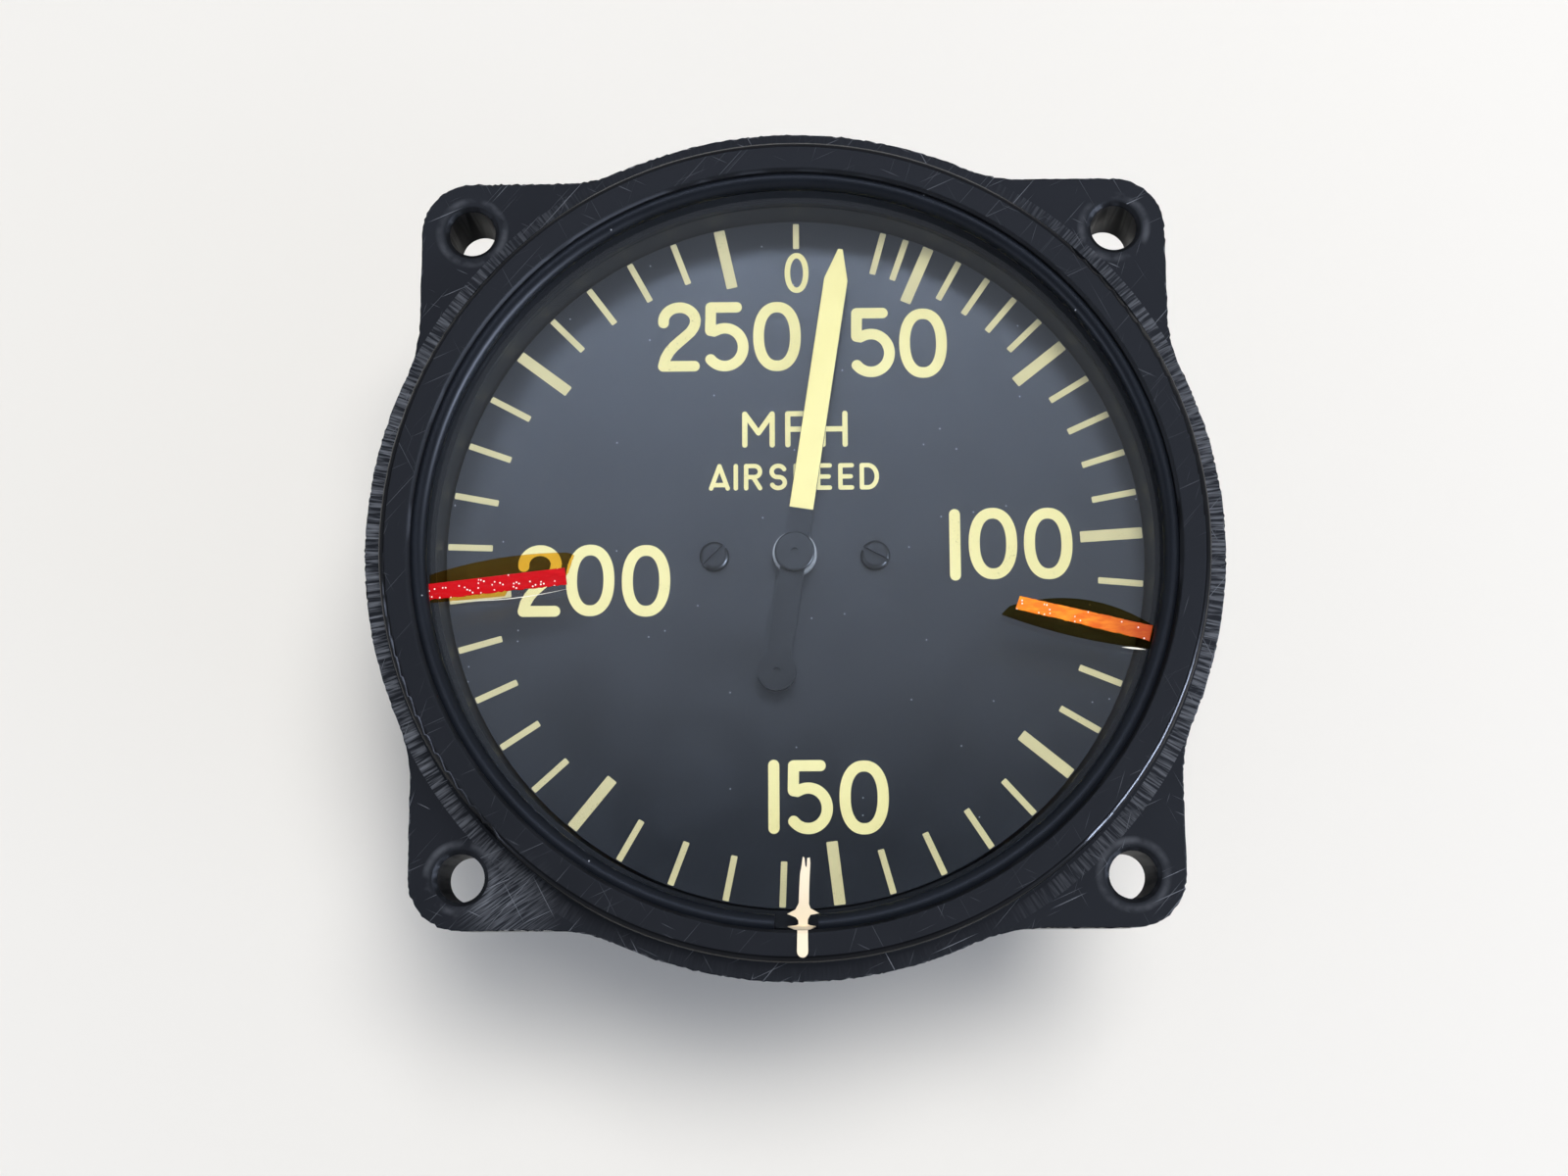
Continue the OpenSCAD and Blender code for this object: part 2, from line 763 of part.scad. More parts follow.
// Rear plate, slotted for the sector's arm
module rear_plate() {
    reach = rear_plate_front - rocker_z;
    window_l = 2 * (reach * sin(rocker_half) + finger_r + arm_room);
    window_w = arm_w + 2 * arm_room;
    color("#c8a94f")
        difference() {
            tube(plate_d, rear_bush_d + 2 * fixed_clearance, rear_plate_back, rear_plate_front);
            at_pillars()
                rod(stud_d + 2 * screw_clearance, rear_plate_back - cut, rear_plate_front + cut);
            translate([sector_x, sector_y, 0])
                rod(pivot_d + 2 * pivot_clearance, rear_plate_back - cut, rear_plate_front + cut);
            translate([pin_x - window_w / 2, rocker_y - window_l / 2, rear_plate_back - cut])
                cube([window_w, window_l, plate_t + 2 * cut]);
            translate([0, 0, rear_plate_front])
                at_bearings()
                    flat_screw(bearing_screw_d, plate_t + cut, screw_clearance);
        }
}

// Front plate, which carries the dial
module front_plate() {
    color("#c8a94f")
        difference() {
            tube(plate_d, front_bush_d + 2 * fixed_clearance, front_plate_back, dial_back);
            translate([0, 0, dial_back])
                at_pillars()
                    flat_screw(plate_screw_d, plate_t + cut, screw_clearance);
            at_dial_screws()
                rod(dial_screw_d + 2 * fixed_clearance, front_plate_back - cut, dial_back + cut);
            translate([sector_x, sector_y, 0])
                rod(pivot_d + 2 * pivot_clearance, front_plate_back - cut, dial_back + cut);
        }
}

// Three pillars between the plates, tapped at both ends
module plate_pillars() {
    color("#b9a066")
        at_pillars()
            difference() {
                rod(pillar_d, rear_plate_front, front_plate_back);
                rod(stud_d + 2 * fixed_clearance, rear_plate_front - cut, rear_plate_front + tap_depth);
                rod(plate_screw_d + 2 * fixed_clearance, front_plate_back - tap_depth,
                    front_plate_back + cut);
            }
}

// Flat-headed screws that hold the front plate on the pillars
module plate_screws() {
    color("#8d8f92")
        translate([0, 0, dial_back])
            at_pillars()
                difference() {
                    flat_screw(plate_screw_d, plate_t + tap_depth * 0.8);
                    slot(2 * plate_screw_d, plate_screw_d * 0.25);
                }
}

// Tube that carries the capsule and leads pitot pressure into it
module capsule_stem() {
    color("#b8974a")
        difference() {
            union() {
                rod(stem_d, base_back, capsule_back);
                rod(stem_flange_d, base_front, base_front + stem_flange_t);
                rod(stem_flange_d, capsule_back - stem_flange_t, capsule_back);
                rod(stem_tip_d, capsule_back, capsule_back + 2 * diaphragm_t);
            }
            rod(passage_d, base_back - cut, capsule_mid);
        }
}

// Height of a diaphragm over its rim, at a share s of the way from the middle to the rim
function wave(s) = dome_h * (1 - s) + corrugation_h / 2 * (1 - cos(360 * corrugations * s));

// Corrugated disc that stands on its rim at z = 0
module diaphragm(bore) {
    inner = centre_d / 2;
    outer = capsule_d / 2 - rim_w;
    steps = 10 * corrugations;
    under = [for (i = [0:steps]) [inner + (outer - inner) * i / steps, wave(i / steps)]];
    section = concat([[bore / 2, dome_h]], under, [[capsule_d / 2, 0]]);
    back = [for (i = [len(section) - 1:-1:0]) section[i] + [0, diaphragm_t]];
    rotate_extrude()
        polygon(concat(section, back));
}

// Fixed diaphragm, soldered to the stem
module rear_diaphragm() {
    color("#c79a63")
        translate([0, 0, capsule_mid])
            mirror([0, 0, 1])
                diaphragm(stem_tip_d + 2 * fixed_clearance);
}

// Diaphragm that swells under pressure
module front_diaphragm() {
    color("#c79a63")
        translate([0, 0, capsule_mid])
            diaphragm(0);
}

// Boss that the front diaphragm lifts against the rocking shaft's arm
module capsule_boss() {
    color("#b8974a") {
        rod(capsule_boss_d, boss_back, boss_front);
        rod(centre_d - 2 * hub_wall, boss_back, boss_back + boss_foot_h);
    }
}

// Two brackets under the rear plate, bored for the shaft
module rocking_bearings() {
    color("#b9a066")
        at_bearings()
            difference() {
                union() {
                    translate([0, 0, rocker_z])
                        cross_rod(bearing_l, -bearing_w / 2, bearing_w / 2);
                    translate([-bearing_w / 2, -bearing_l / 2, rocker_z])
                        cube([bearing_w, bearing_l, rear_plate_back - rocker_z]);
                }
                rod(bearing_screw_d + 2 * fixed_clearance, rear_plate_back - tap_depth,
                    rear_plate_back + cut);
                translate([0, 0, rocker_z])
                    cross_rod(rocker_d + 2 * pivot_clearance, -bearing_w, bearing_w);
            }
}

// Flat-headed screws that hold the two brackets
module bearing_screws() {
    color("#8d8f92")
        translate([0, 0, rear_plate_front])
            at_bearings()
                difference() {
                    flat_screw(bearing_screw_d, plate_t + tap_depth * 0.8);
                    slot(2 * bearing_screw_d, bearing_screw_d * 0.25);
                }
}

// Shaft that turns the capsule's lift into a swing
module rocking_shaft() {
    color("#9a9da3")
        on_rocker()
            cross_rod(rocker_d, pin_x - arm_w, near_bearing_x + bearing_w);
}

// Arm that rests on the capsule's boss
module capsule_arm() {
    color("#c2a55a")
        on_rocker()
            difference() {
                union() {
                    cross_rod(arm_hub_d, -arm_w / 2, arm_w / 2);
                    translate([-arm_w / 2, -capsule_arm_len, -arm_t / 2])
                        cube([arm_w, capsule_arm_len, arm_t]);
                    translate([0, -capsule_arm_len, 0])
                        cross_rod(2 * nose_r, -arm_w / 2, arm_w / 2);
                }
                cross_rod(rocker_d + 2 * fixed_clearance, -arm_w, arm_w);
            }
}

// Arm that pushes the sector's pin, through the rear plate's slot
module sector_arm() {
    color("#c2a55a")
        on_rocker()
            translate([pin_x, 0, 0])
                difference() {
                    union() {
                        cross_rod(arm_hub_d, -arm_w / 2, arm_w / 2);
                        translate([-arm_w / 2, -arm_t / 2, 0])
                            cube([arm_w, arm_t, sector_arm_len]);
                        translate([0, 0, sector_arm_len])
                            cross_rod(2 * finger_r, -arm_w / 2, arm_w / 2);
                    }
                    cross_rod(rocker_d + 2 * fixed_clearance, -arm_w, arm_w);
                }
}

// Arbor of the sector, with a pivot in each plate
module sector_arbor() {
    color("#9a9da3")
        on_sector() {
            rod(pivot_d, rear_plate_back, dial_back - end_shake);
            rod(staff_d, rear_plate_front + end_shake, front_plate_back - end_shake);
        }
}

// Involute of an angle, in degrees
function involute(a) = tan(a) * 180 / PI - a;

// Half the angle that a tooth of pitch radius r spans at radius q
function tooth_half(r, q) =
    tooth_t / (2 * r) * 180 / PI + involute(pressure_angle) - involute(acos(r * cos(pressure_angle) / q));

// One tooth of pitch radius r on the X axis, its foot sunk into the rim
module tooth(r, root, tip) {
    start = max(root, r * cos(pressure_angle) * 1.0001);
    flank = [for (i = [0:flank_steps]) start + (tip - start) * i / flank_steps];
    foot = tooth_half(r, start);
    inside = root - gear_module / 2;
    right = concat([inside * [cos(foot), -sin(foot)]],
        [for (q = flank) q * [cos(tooth_half(r, q)), -sin(tooth_half(r, q))]]);
    left = [for (i = [len(right) - 1:-1:0]) [right[i].x, -right[i].y]];
    polygon(concat(right, left));
}

// Wedge with its point on the axis, opened by half an angle on each side of X
module wedge(half) {
    reach = 2 * wheel_r;
    polygon([[0, 0], [reach, -reach * tan(half)], [reach, reach * tan(half)]]);
}

// Toothed sector with an open middle, a hub and a pad for its pin
module sector_gear() {
    window_shift = sector_spoke / sin(sector_half);
    color("#c8a94f")
        on_sector()
            translate([0, 0, sector_z])
                linear_extrude(sector_t)
                    difference() {
                        union() {
                            rotate(mesh_angle) {
                                difference() {
                                    intersection() {
                                        circle(r = sector_root);
                                        wedge(sector_half);
                                    }
                                    intersection() {
                                        circle(r = sector_root - sector_rim);
                                        translate([window_shift, 0])
                                            wedge(sector_half);
                                    }
                                }
                                for (i = [0:sector_teeth - 1])
                                    rotate((i - (sector_teeth - 1) / 2) * 360 / wheel_teeth)
                                        tooth(wheel_r, sector_root, sector_tip);
                            }
                            circle(r = staff_d / 2 + sector_spoke);
                            translate([pin_offset, 0])
                                circle(r = pin_d / 2 + hub_wall);
                        }
                        circle(d = staff_d + 2 * fixed_clearance);
                        translate([pin_offset, 0])
                            circle(d = pin_d + 2 * fixed_clearance);
                    }
}

// Pin of the sector, on which the sector's arm bears
module sector_pin() {
    color("#9a9da3")
        on_sector()
            translate([pin_offset, 0, 0])
                rod(pin_d, sector_z - pin_len, sector_z + sector_t);
}

// Bush of the staff's rear pivot
module staff_rear_bush() {
    color("#b8974a")
        difference() {
            union() {
                rod(rear_bush_d, rear_plate_back - bush_flange_t, rear_plate_front);
                rod(rear_bush_d + 2 * bush_flange_w, rear_plate_back - bush_flange_t, rear_plate_back);
            }
            rod(pivot_d + 2 * pivot_clearance, rear_plate_back, rear_plate_front + cut);
        }
}

// Bush of the staff in the front plate, reaching through the dial
module staff_front_bush() {
    color("#b8974a")
        difference() {
            union() {
                rod(front_bush_d, front_plate_back - bush_flange_t, dial_face + bush_lift / 2);
                rod(front_bush_d + 2 * bush_flange_w, front_plate_back - bush_flange_t, front_plate_back);
            }
            rod(staff_d + 2 * pivot_clearance, front_plate_back - bush_flange_t - cut, dial_face + cut);
        }
}

// Staff that carries pinion, hairspring collet and hand
module hand_staff() {
    color("#9a9da3") {
        rod(pivot_d, rear_plate_back + end_shake, rear_plate_front + plate_t);
        rod(staff_d, rear_plate_front + end_shake, pointer_front - end_shake);
    }
}

// Pinion in mesh with the sector: a gap of its teeth faces a tooth of the sector at mid travel
module pinion() {
    color("#b9a066")
        translate([0, 0, pinion_z])
            rotate(mesh_angle + 180 + 180 / pinion_teeth - pointer_rest + mid_angle)
                linear_extrude(pinion_len)
                    difference() {
                        union() {
                            circle(r = pinion_root);
                            for (i = [1:pinion_teeth])
                                rotate(i * 360 / pinion_teeth)
                                    tooth(pinion_r, pinion_root, pinion_tip);
                        }
                        circle(d = staff_d + 2 * fixed_clearance);
                    }
}

// Point of the hairspring at a share s of its length, moved out by a distance
function spiral(s, out) =
    let (
        r = spring_bore_r + (spring_r - spring_bore_r) * s + out,
        a = spring_at - 360 * spring_turns * (1 - s)
    )
    r * [cos(a), sin(a)];

// Spiral ribbon that takes up the play and brings the hand back
module hairspring() {
    steps = 30 * spring_turns;
    color("#7d86a0")
        translate([0, 0, spring_z])
            linear_extrude(ribbon_w)
                polygon(concat([for (i = [0:steps]) spiral(i / steps, ribbon_t / 2)],
                    [for (i = [steps:-1:0]) spiral(i / steps, -ribbon_t / 2)]));
}

// Collet that holds the hairspring's inner end on the staff
module hairspring_collet() {
    color("#b8974a")
        tube(collet_d, staff_d + 2 * fixed_clearance, spring_z - collet_margin,
            spring_z + ribbon_w + collet_margin);
}

// Stud under the front plate, sawn to hold the hairspring's outer end
module hairspring_stud() {
    saw = ribbon_t + 2 * contact_gap;
    color("#b8974a")
        rotate(spring_at)
            translate([spring_r, 0, 0])
                difference() {
                    rod(spring_stud_d, spring_z - collet_margin, front_plate_back);
                    translate([-saw / 2, -spring_stud_d, spring_z - collet_margin - cut])
                        cube([saw, 2 * spring_stud_d, ribbon_w + 2 * collet_margin + cut]);
                }
}

case();
pitot_port_insert();
static_port_insert();
glass();
glass_gasket();
snap_ring();
dial();
dial_screws();
pointer();
pointer_bush();
base_plate();
base_screws();
base_screw_washers();
frame_posts();
rear_plate();
front_plate();
plate_pillars();
plate_screws();
capsule_stem();
rear_diaphragm();
front_diaphragm();
capsule_boss();
rocking_bearings();
bearing_screws();
rocking_shaft();
capsule_arm();
sector_arm();
sector_arbor();
sector_gear();
sector_pin();
staff_rear_bush();
staff_front_bush();
hand_staff();
pinion();
hairspring();
hairspring_collet();
hairspring_stud();
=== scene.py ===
# %% [markdown]
# # An airspeed indicator, from bare solids to a finished instrument
#
# A panel instrument arrives here as a packed set of solids: case, glass, dial, pointer and works.
# The solids have the right shape but no finish and no print. In this lesson we give each one its
# real surface, print the dial, paint the pointer and brush on the marks that a pilot's glass carries.
# Loading comes first, because every later piece takes its place from the solids.

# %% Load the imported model
import json
import math
import random

import bpy
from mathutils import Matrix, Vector

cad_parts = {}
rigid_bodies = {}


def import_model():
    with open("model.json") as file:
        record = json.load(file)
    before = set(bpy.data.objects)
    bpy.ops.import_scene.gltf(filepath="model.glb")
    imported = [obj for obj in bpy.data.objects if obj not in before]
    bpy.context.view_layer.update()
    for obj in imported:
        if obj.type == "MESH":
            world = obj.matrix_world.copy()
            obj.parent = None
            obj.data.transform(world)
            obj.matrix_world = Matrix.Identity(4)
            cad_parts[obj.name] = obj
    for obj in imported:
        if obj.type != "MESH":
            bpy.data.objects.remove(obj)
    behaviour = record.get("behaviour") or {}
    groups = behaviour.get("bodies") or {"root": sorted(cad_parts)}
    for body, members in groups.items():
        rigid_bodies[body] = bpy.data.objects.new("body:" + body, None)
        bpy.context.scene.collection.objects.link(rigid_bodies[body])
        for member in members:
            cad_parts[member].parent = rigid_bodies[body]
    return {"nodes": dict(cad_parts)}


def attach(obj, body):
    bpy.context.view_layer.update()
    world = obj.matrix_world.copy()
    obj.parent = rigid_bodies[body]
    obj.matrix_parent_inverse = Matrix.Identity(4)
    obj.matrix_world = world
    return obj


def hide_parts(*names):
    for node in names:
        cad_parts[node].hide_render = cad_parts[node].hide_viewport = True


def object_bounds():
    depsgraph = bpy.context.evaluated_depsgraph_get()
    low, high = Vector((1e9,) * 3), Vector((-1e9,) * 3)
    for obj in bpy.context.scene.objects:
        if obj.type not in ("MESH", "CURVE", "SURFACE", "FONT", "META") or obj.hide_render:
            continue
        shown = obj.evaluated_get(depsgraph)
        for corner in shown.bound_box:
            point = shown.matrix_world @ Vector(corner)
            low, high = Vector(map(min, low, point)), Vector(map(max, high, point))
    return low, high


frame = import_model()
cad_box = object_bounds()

MM = 0.001

# %% [markdown]
# ## Small helpers
#
# Operators act on whatever is selected, and loading leaves every solid selected. So we always
# deselect first and then pick the piece that we mean. A finished piece has its place in its mesh,
# a material, and a body that it rides on, so that it moves with the part of the instrument it is on.

# %% Helpers for picking and editing a piece
def deselect():
    if bpy.context.mode != "OBJECT":
        bpy.ops.object.mode_set(mode="OBJECT")
    bpy.ops.object.select_all(action="DESELECT")


def pick(*pieces):
    deselect()
    for piece in pieces:
        piece.select_set(True)
    bpy.context.view_layer.objects.active = pieces[0]


def start_edit(piece):
    pick(piece)
    bpy.ops.object.mode_set(mode="EDIT")
    bpy.ops.mesh.select_all(action="SELECT")


def end_edit():
    bpy.ops.object.mode_set(mode="OBJECT")


def clean_mesh(piece, merge=0.0005):
    start_edit(piece)
    bpy.ops.mesh.remove_doubles(threshold=merge * MM)
    bpy.ops.mesh.normals_make_consistent(inside=False)
    end_edit()


def use_modifier(piece, kind, **settings):
    pick(piece)
    made = piece.modifiers.new(kind.lower(), kind)
    for name, value in settings.items():
        setattr(made, name, value)
    bpy.ops.object.modifier_apply(modifier=made.name)


print("ready to pick and edit")

# %% Helpers for finishing a piece
def copied(piece):
    copy = piece.copy()
    copy.data = piece.data.copy()
    bpy.context.collection.objects.link(copy)
    return copy


def set_in_place(*pieces):
    pick(*pieces)
    bpy.ops.object.transform_apply(location=True, rotation=True, scale=True)


def joined(pieces):
    pick(*pieces)
    if len(pieces) > 1:
        bpy.ops.object.join()
    return pieces[0]


def finish_piece(piece, name, body, material):
    set_in_place(piece)
    piece.name = piece.data.name = name
    piece.data.materials.clear()
    piece.data.materials.append(material)
    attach(piece, body)
    print(name, "has", len(piece.data.polygons), "faces and rides on", body)
    return piece


print("ready to finish")

# %% [markdown]
# ## Materials are small node trees
#
# Each finish is named for the real material and for how its surface was made. Colours are written
# as the hex values that a paint chip would have, and one function makes them linear for the shader.
# One more function adds a node, sets it and links it. Patterns read Object coordinates, turned into
# millimetres by one Mapping node of the Texture kind. So a noise with features of 4 mm has a scale
# of 1 / 4, and a stretched one goes through a second Mapping whose scale is its length and width.

# %% Helpers for materials
# A colour mix keeps its sockets under numbers: how much of the second colour, the first, the second.
SHARE, FIRST, SECOND = 0, 6, 7


def linear(hex_colour):
    parts = [int(hex_colour[i:i + 2], 16) / 255 for i in (1, 3, 5)]
    return [p / 12.92 if p <= 0.04045 else ((p + 0.055) / 1.055) ** 2.4 for p in parts] + [1.0]


def node(tree, kind, inputs=None, **settings):
    """Add a node. An input takes a value, a socket, or a node, which stands for its first output in use."""
    made = tree.nodes.new("ShaderNode" + kind)
    for name, value in settings.items():
        setattr(made, name, value)
    for name, value in (inputs or {}).items():
        if isinstance(value, bpy.types.Node):
            value = next(output for output in value.outputs if output.enabled)
        if isinstance(value, bpy.types.NodeSocket):
            tree.links.new(value, made.inputs[name])
        else:
            made.inputs[name].default_value = value
    return made


def start_material(name):
    material = bpy.data.materials.new(name)
    material.use_nodes = True
    material.node_tree.nodes.clear()
    return material, material.node_tree


def place_in_mm(tree):
    spot = node(tree, "TexCoord").outputs["Object"]
    return node(tree, "Mapping", {"Vector": spot, "Scale": (MM, MM, MM)}, vector_type="TEXTURE")


def end_material(tree, inputs):
    shader = node(tree, "BsdfPrincipled", inputs)
    node(tree, "OutputMaterial", {"Surface": shader})


print("ready to mix materials")

# %% [markdown]
# ## The case: black phenolic
#
# The case is hot-pressed phenolic resin. Its moulded skin is glossy, but flange and ring were ground
# flat, the bore was turned and the lug holes drilled. So the shader first has to know where a point
# lies: on a flat face of the front, how far from the axis, how far from a hole. The four lugs are
# alike, and absolute values of X and Y fold them into one.

# %% Where a point of the case lies
LUG_AT = 31.43
RUB_R = 3.2
FLANGE_R = 39.8
RIM_R = 41.3
TURNED_R = 38.5
FRONT_ABOVE = -0.5


def case_places(tree, place):
    split = node(tree, "SeparateXYZ", {"Vector": place})
    normal = node(tree, "NewGeometry").outputs["True Normal"]
    upward = node(tree, "SeparateXYZ", {"Vector": normal})
    flat = node(tree, "Math", {0: upward.outputs["Z"], 1: 0.98}, operation="GREATER_THAN")
    front = node(tree, "Math", {0: split.outputs["Z"], 1: FRONT_ABOVE}, operation="GREATER_THAN")
    level = node(tree, "VectorMath", {0: place, 1: (1, 1, 0)}, operation="MULTIPLY")
    quarter = node(tree, "VectorMath", {0: level}, operation="ABSOLUTE")
    radius = node(tree, "VectorMath", {0: level}, operation="LENGTH")
    return {
        "split": split, "normal": normal, "front": front,
        "level": level, "quarter": quarter, "radius": radius,
        "ground": node(tree, "Math", {0: flat, 1: front}, operation="MULTIPLY"),
        "from_hole": node(tree, "VectorMath", {0: quarter, 1: (LUG_AT, LUG_AT, 0)}, operation="DISTANCE"),
        "past_ring": node(tree, "Math", {0: radius, 1: FLANGE_R}, operation="GREATER_THAN"),
    }


print("lug holes at", LUG_AT, "mm each way")

# %% [markdown]
# ## Scratches and rubbed places
#
# Years in a toolbox left long scratches on the front, screw heads rubbed dull rings round the holes, and
# handling brushed one lug between its hole and the ring. That lug also gets a patch of painted sheen over its
# brushed lines. We could model every scratch, but they are thinner than a hair, so the shader draws them:
# noise stretched to the length and width of a scratch, cut off so that only the crests are left.

# %% Scratches and rubs
SCRATCHES = [
    # turn in degrees, length in mm, width in mm, and where the noise is cut off
    (24, 9, 0.16, 0.72), (72, 6, 0.14, 0.735), (118, 11, 0.15, 0.73), (155, 5, 0.2, 0.74),
    (49, 14, 0.12, 0.72),
]
SHEEN_SCUFF_AT = (-27, -33.5, 0)
SCUFF_TURN = 35


def long_scratches(tree, place):
    deepest = 0.0
    for turn, length, width, keep in SCRATCHES:
        lay = node(tree, "Mapping", {
            "Vector": place, "Location": (turn, 0, 0), "Rotation": (0, 0, math.radians(turn)),
            "Scale": (length, width, 4)}, vector_type="TEXTURE")
        streak = node(tree, "TexNoise", {"Vector": lay, "Scale": 1, "Detail": 1})
        line = node(tree, "MapRange", {"Value": streak, "From Min": keep, "From Max": keep + 0.06})
        deepest = node(tree, "Math", {0: deepest, 1: line}, operation="MAXIMUM")
    return deepest


def rub_marks_and_sheen(tree, place, at, patches):
    past_line = node(tree, "Math", {0: at["from_hole"], 1: RUB_R}, operation="SUBTRACT")
    off_line = node(tree, "Math", {0: past_line}, operation="ABSOLUTE")
    ring = node(tree, "MapRange", {"Value": off_line, "From Min": 0.45, "From Max": 0.1, "To Max": 0.3})
    broken = node(tree, "MapRange", {"Value": patches, "From Min": 0.42, "From Max": 0.62})
    rubbed = node(tree, "Math", {0: ring, 1: broken}, operation="MULTIPLY")
    # Painted sheen: a pale patch on the lower left lug, broken up by the brushed lines, stands for light
    # caught on its scratches.
    from_sheen_scuff = node(tree, "VectorMath", {0: at["level"], 1: SHEEN_SCUFF_AT}, operation="DISTANCE")
    scuff_and_sheen = node(tree, "MapRange", {"Value": from_sheen_scuff, "From Min": 5.5, "From Max": 1, "To Max": 0.7})
    lay = node(tree, "Mapping", {
        "Vector": place, "Rotation": (0, 0, math.radians(SCUFF_TURN)), "Scale": (3, 0.14, 4)},
        vector_type="TEXTURE")
    brushed = node(tree, "TexNoise", {"Vector": lay, "Scale": 1, "Detail": 3})
    line = node(tree, "MapRange", {"Value": brushed, "From Min": 0.42, "From Max": 0.7})
    return node(tree, "Math", {0: scuff_and_sheen, 1: line, 2: rubbed}, operation="MULTIPLY_ADD")


print(len(SCRATCHES), "sets of scratches")

# %% [markdown]
# ## The filed rim and its chips
#
# The file that dressed the rim left hairlines across it: noise along the angle, long across the rim.
# Only at the sides of the case are they drawn pale, as painted sheen for the light they catch there; at its
# top and bottom they hardly show. The brittle outer edge of flange and lugs has pale chips. A Bevel node
# finds that edge, because its normal differs from the true one only there, and masks leave out the ring and
# the holes.

# %% File marks and chips
HAIR_WIDTH = 0.2
HAIR_LENGTH = 3
CHIP_SIZE = 0.9


def file_marks_with_sheen(tree, at):
    turn = node(tree, "Math", {
        0: at["split"].outputs["Y"], 1: at["split"].outputs["X"]}, operation="ARCTAN2")
    round_rim = node(tree, "CombineXYZ", {"X": turn, "Y": at["radius"]})
    lay = node(tree, "Mapping", {
        "Vector": round_rim, "Scale": (HAIR_WIDTH / FLANGE_R, HAIR_LENGTH, 1)}, vector_type="TEXTURE")
    hairs = node(tree, "TexNoise", {"Vector": lay, "Scale": 1, "Detail": 2})
    sideways = node(tree, "SeparateXYZ", {"Vector": at["quarter"]})
    # Painted sheen: the hairlines grow paler towards the sides of the case, where they would catch the light.
    painted_sheen_sides = node(tree, "MapRange", {
        "Value": sideways.outputs["X"], "From Min": 20, "From Max": 39, "To Min": 0.03})
    on_rim = node(tree, "Math", {0: at["radius"], 1: RIM_R}, operation="LESS_THAN")
    filed_with_sheen = node(tree, "MapRange", {"Value": hairs, "From Min": 0.42, "From Max": 0.72, "To Max": 0.8})
    for mask in (at["past_ring"], on_rim, painted_sheen_sides):
        filed_with_sheen = node(tree, "Math", {0: filed_with_sheen, 1: mask}, operation="MULTIPLY")
    return filed_with_sheen


def edge_chips(tree, place, at, rounded):
    likeness = node(tree, "VectorMath", {0: rounded, 1: at["normal"]}, operation="DOT_PRODUCT")
    chips = node(tree, "MapRange", {"Value": likeness, "From Min": 0.97, "From Max": 0.8})
    crumbly = node(tree, "TexNoise", {"Vector": place, "Scale": 1 / CHIP_SIZE, "Detail": 5})
    crumb = node(tree, "MapRange", {"Value": crumbly, "From Min": 0.53, "From Max": 0.66})
    off_hole = node(tree, "Math", {0: at["from_hole"], 1: RUB_R}, operation="GREATER_THAN")
    for mask in (off_hole, at["past_ring"], at["front"], crumb):
        chips = node(tree, "Math", {0: chips, 1: mask}, operation="MULTIPLY")
    return chips


print("hairlines", HAIR_WIDTH, "mm wide, chips", CHIP_SIZE, "mm")

# %% [markdown]
# ## Phenolic, put together
#
# Black comes first, then each kind of wear is laid over it as a paler grey, and painted sheen is laid in the
# same way on the filed sides and on one lug. Wear also changes how the surface shines: moulded skin gives
# sharp glints, worked faces only a dull sheen.

# %% Phenolic
PATCH_SIZE = 4
EDGE_R = 0.22
MOULDED, WORKED = 0.14, 0.5


def phenolic():
    material, tree = start_material("phenolic_moulded_and_ground")
    place = place_in_mm(tree)
    at = case_places(tree, place)
    # Fillers and wear make the black uneven in patches.
    patches = node(tree, "TexNoise", {"Vector": place, "Scale": 1 / PATCH_SIZE, "Detail": 5})
    # The flange lies open to knocks; the ring was polished again and keeps a third of the marks.
    kept = node(tree, "MapRange", {
        "Value": at["split"].outputs["Z"], "From Min": 0.5, "From Max": 2.5, "To Min": 1.0, "To Max": 0.3})
    marks = long_scratches(tree, place)
    # The marks take in painted sheen too: the pale sides of the filed rim and the patch on one lug.
    for more in (rub_marks_and_sheen(tree, place, at, patches), file_marks_with_sheen(tree, at)):
        marks = node(tree, "Math", {0: marks, 1: more}, operation="MAXIMUM")
    for mask in (at["ground"], kept):
        marks = node(tree, "Math", {0: marks, 1: mask}, operation="MULTIPLY")
    rounded = node(tree, "Bevel", {"Radius": EDGE_R * MM}, samples=6)
    chips = edge_chips(tree, place, at, rounded)

    colour = node(tree, "Mix", {
        SHARE: patches, FIRST: linear("#07080A"), SECOND: linear("#0F1013")}, data_type="RGBA")
    dulled = node(tree, "Math", {0: at["ground"], 1: 0.15}, operation="MULTIPLY")
    for share, grey in ((dulled, "#202227"), (marks, "#6A6D74"), (chips, "#83858A")):
        colour = node(tree, "Mix", {
            SHARE: share, FIRST: colour, SECOND: linear(grey)}, data_type="RGBA")

    turned = node(tree, "Math", {0: at["radius"], 1: TURNED_R}, operation="LESS_THAN")
    drilled = node(tree, "Math", {0: at["from_hole"], 1: RUB_R}, operation="LESS_THAN")
    worked = at["ground"]
    for cut in (turned, drilled):
        worked = node(tree, "Math", {0: worked, 1: cut}, operation="MAXIMUM")
    dullness = node(tree, "MapRange", {"Value": worked, "To Min": MOULDED, "To Max": WORKED})
    rough = node(tree, "Math", {0: patches, 1: 0.12, 2: dullness}, operation="MULTIPLY_ADD")
    depth = node(tree, "Math", {0: 0.0, 1: marks}, operation="SUBTRACT")
    relief = node(tree, "Bump", {
        "Height": depth, "Strength": 0.25, "Distance": 0.05 * MM, "Normal": rounded})
    end_material(tree, {
        "Base Color": colour, "Roughness": rough, "Normal": relief, "Specular IOR Level": 0.12})
    return material


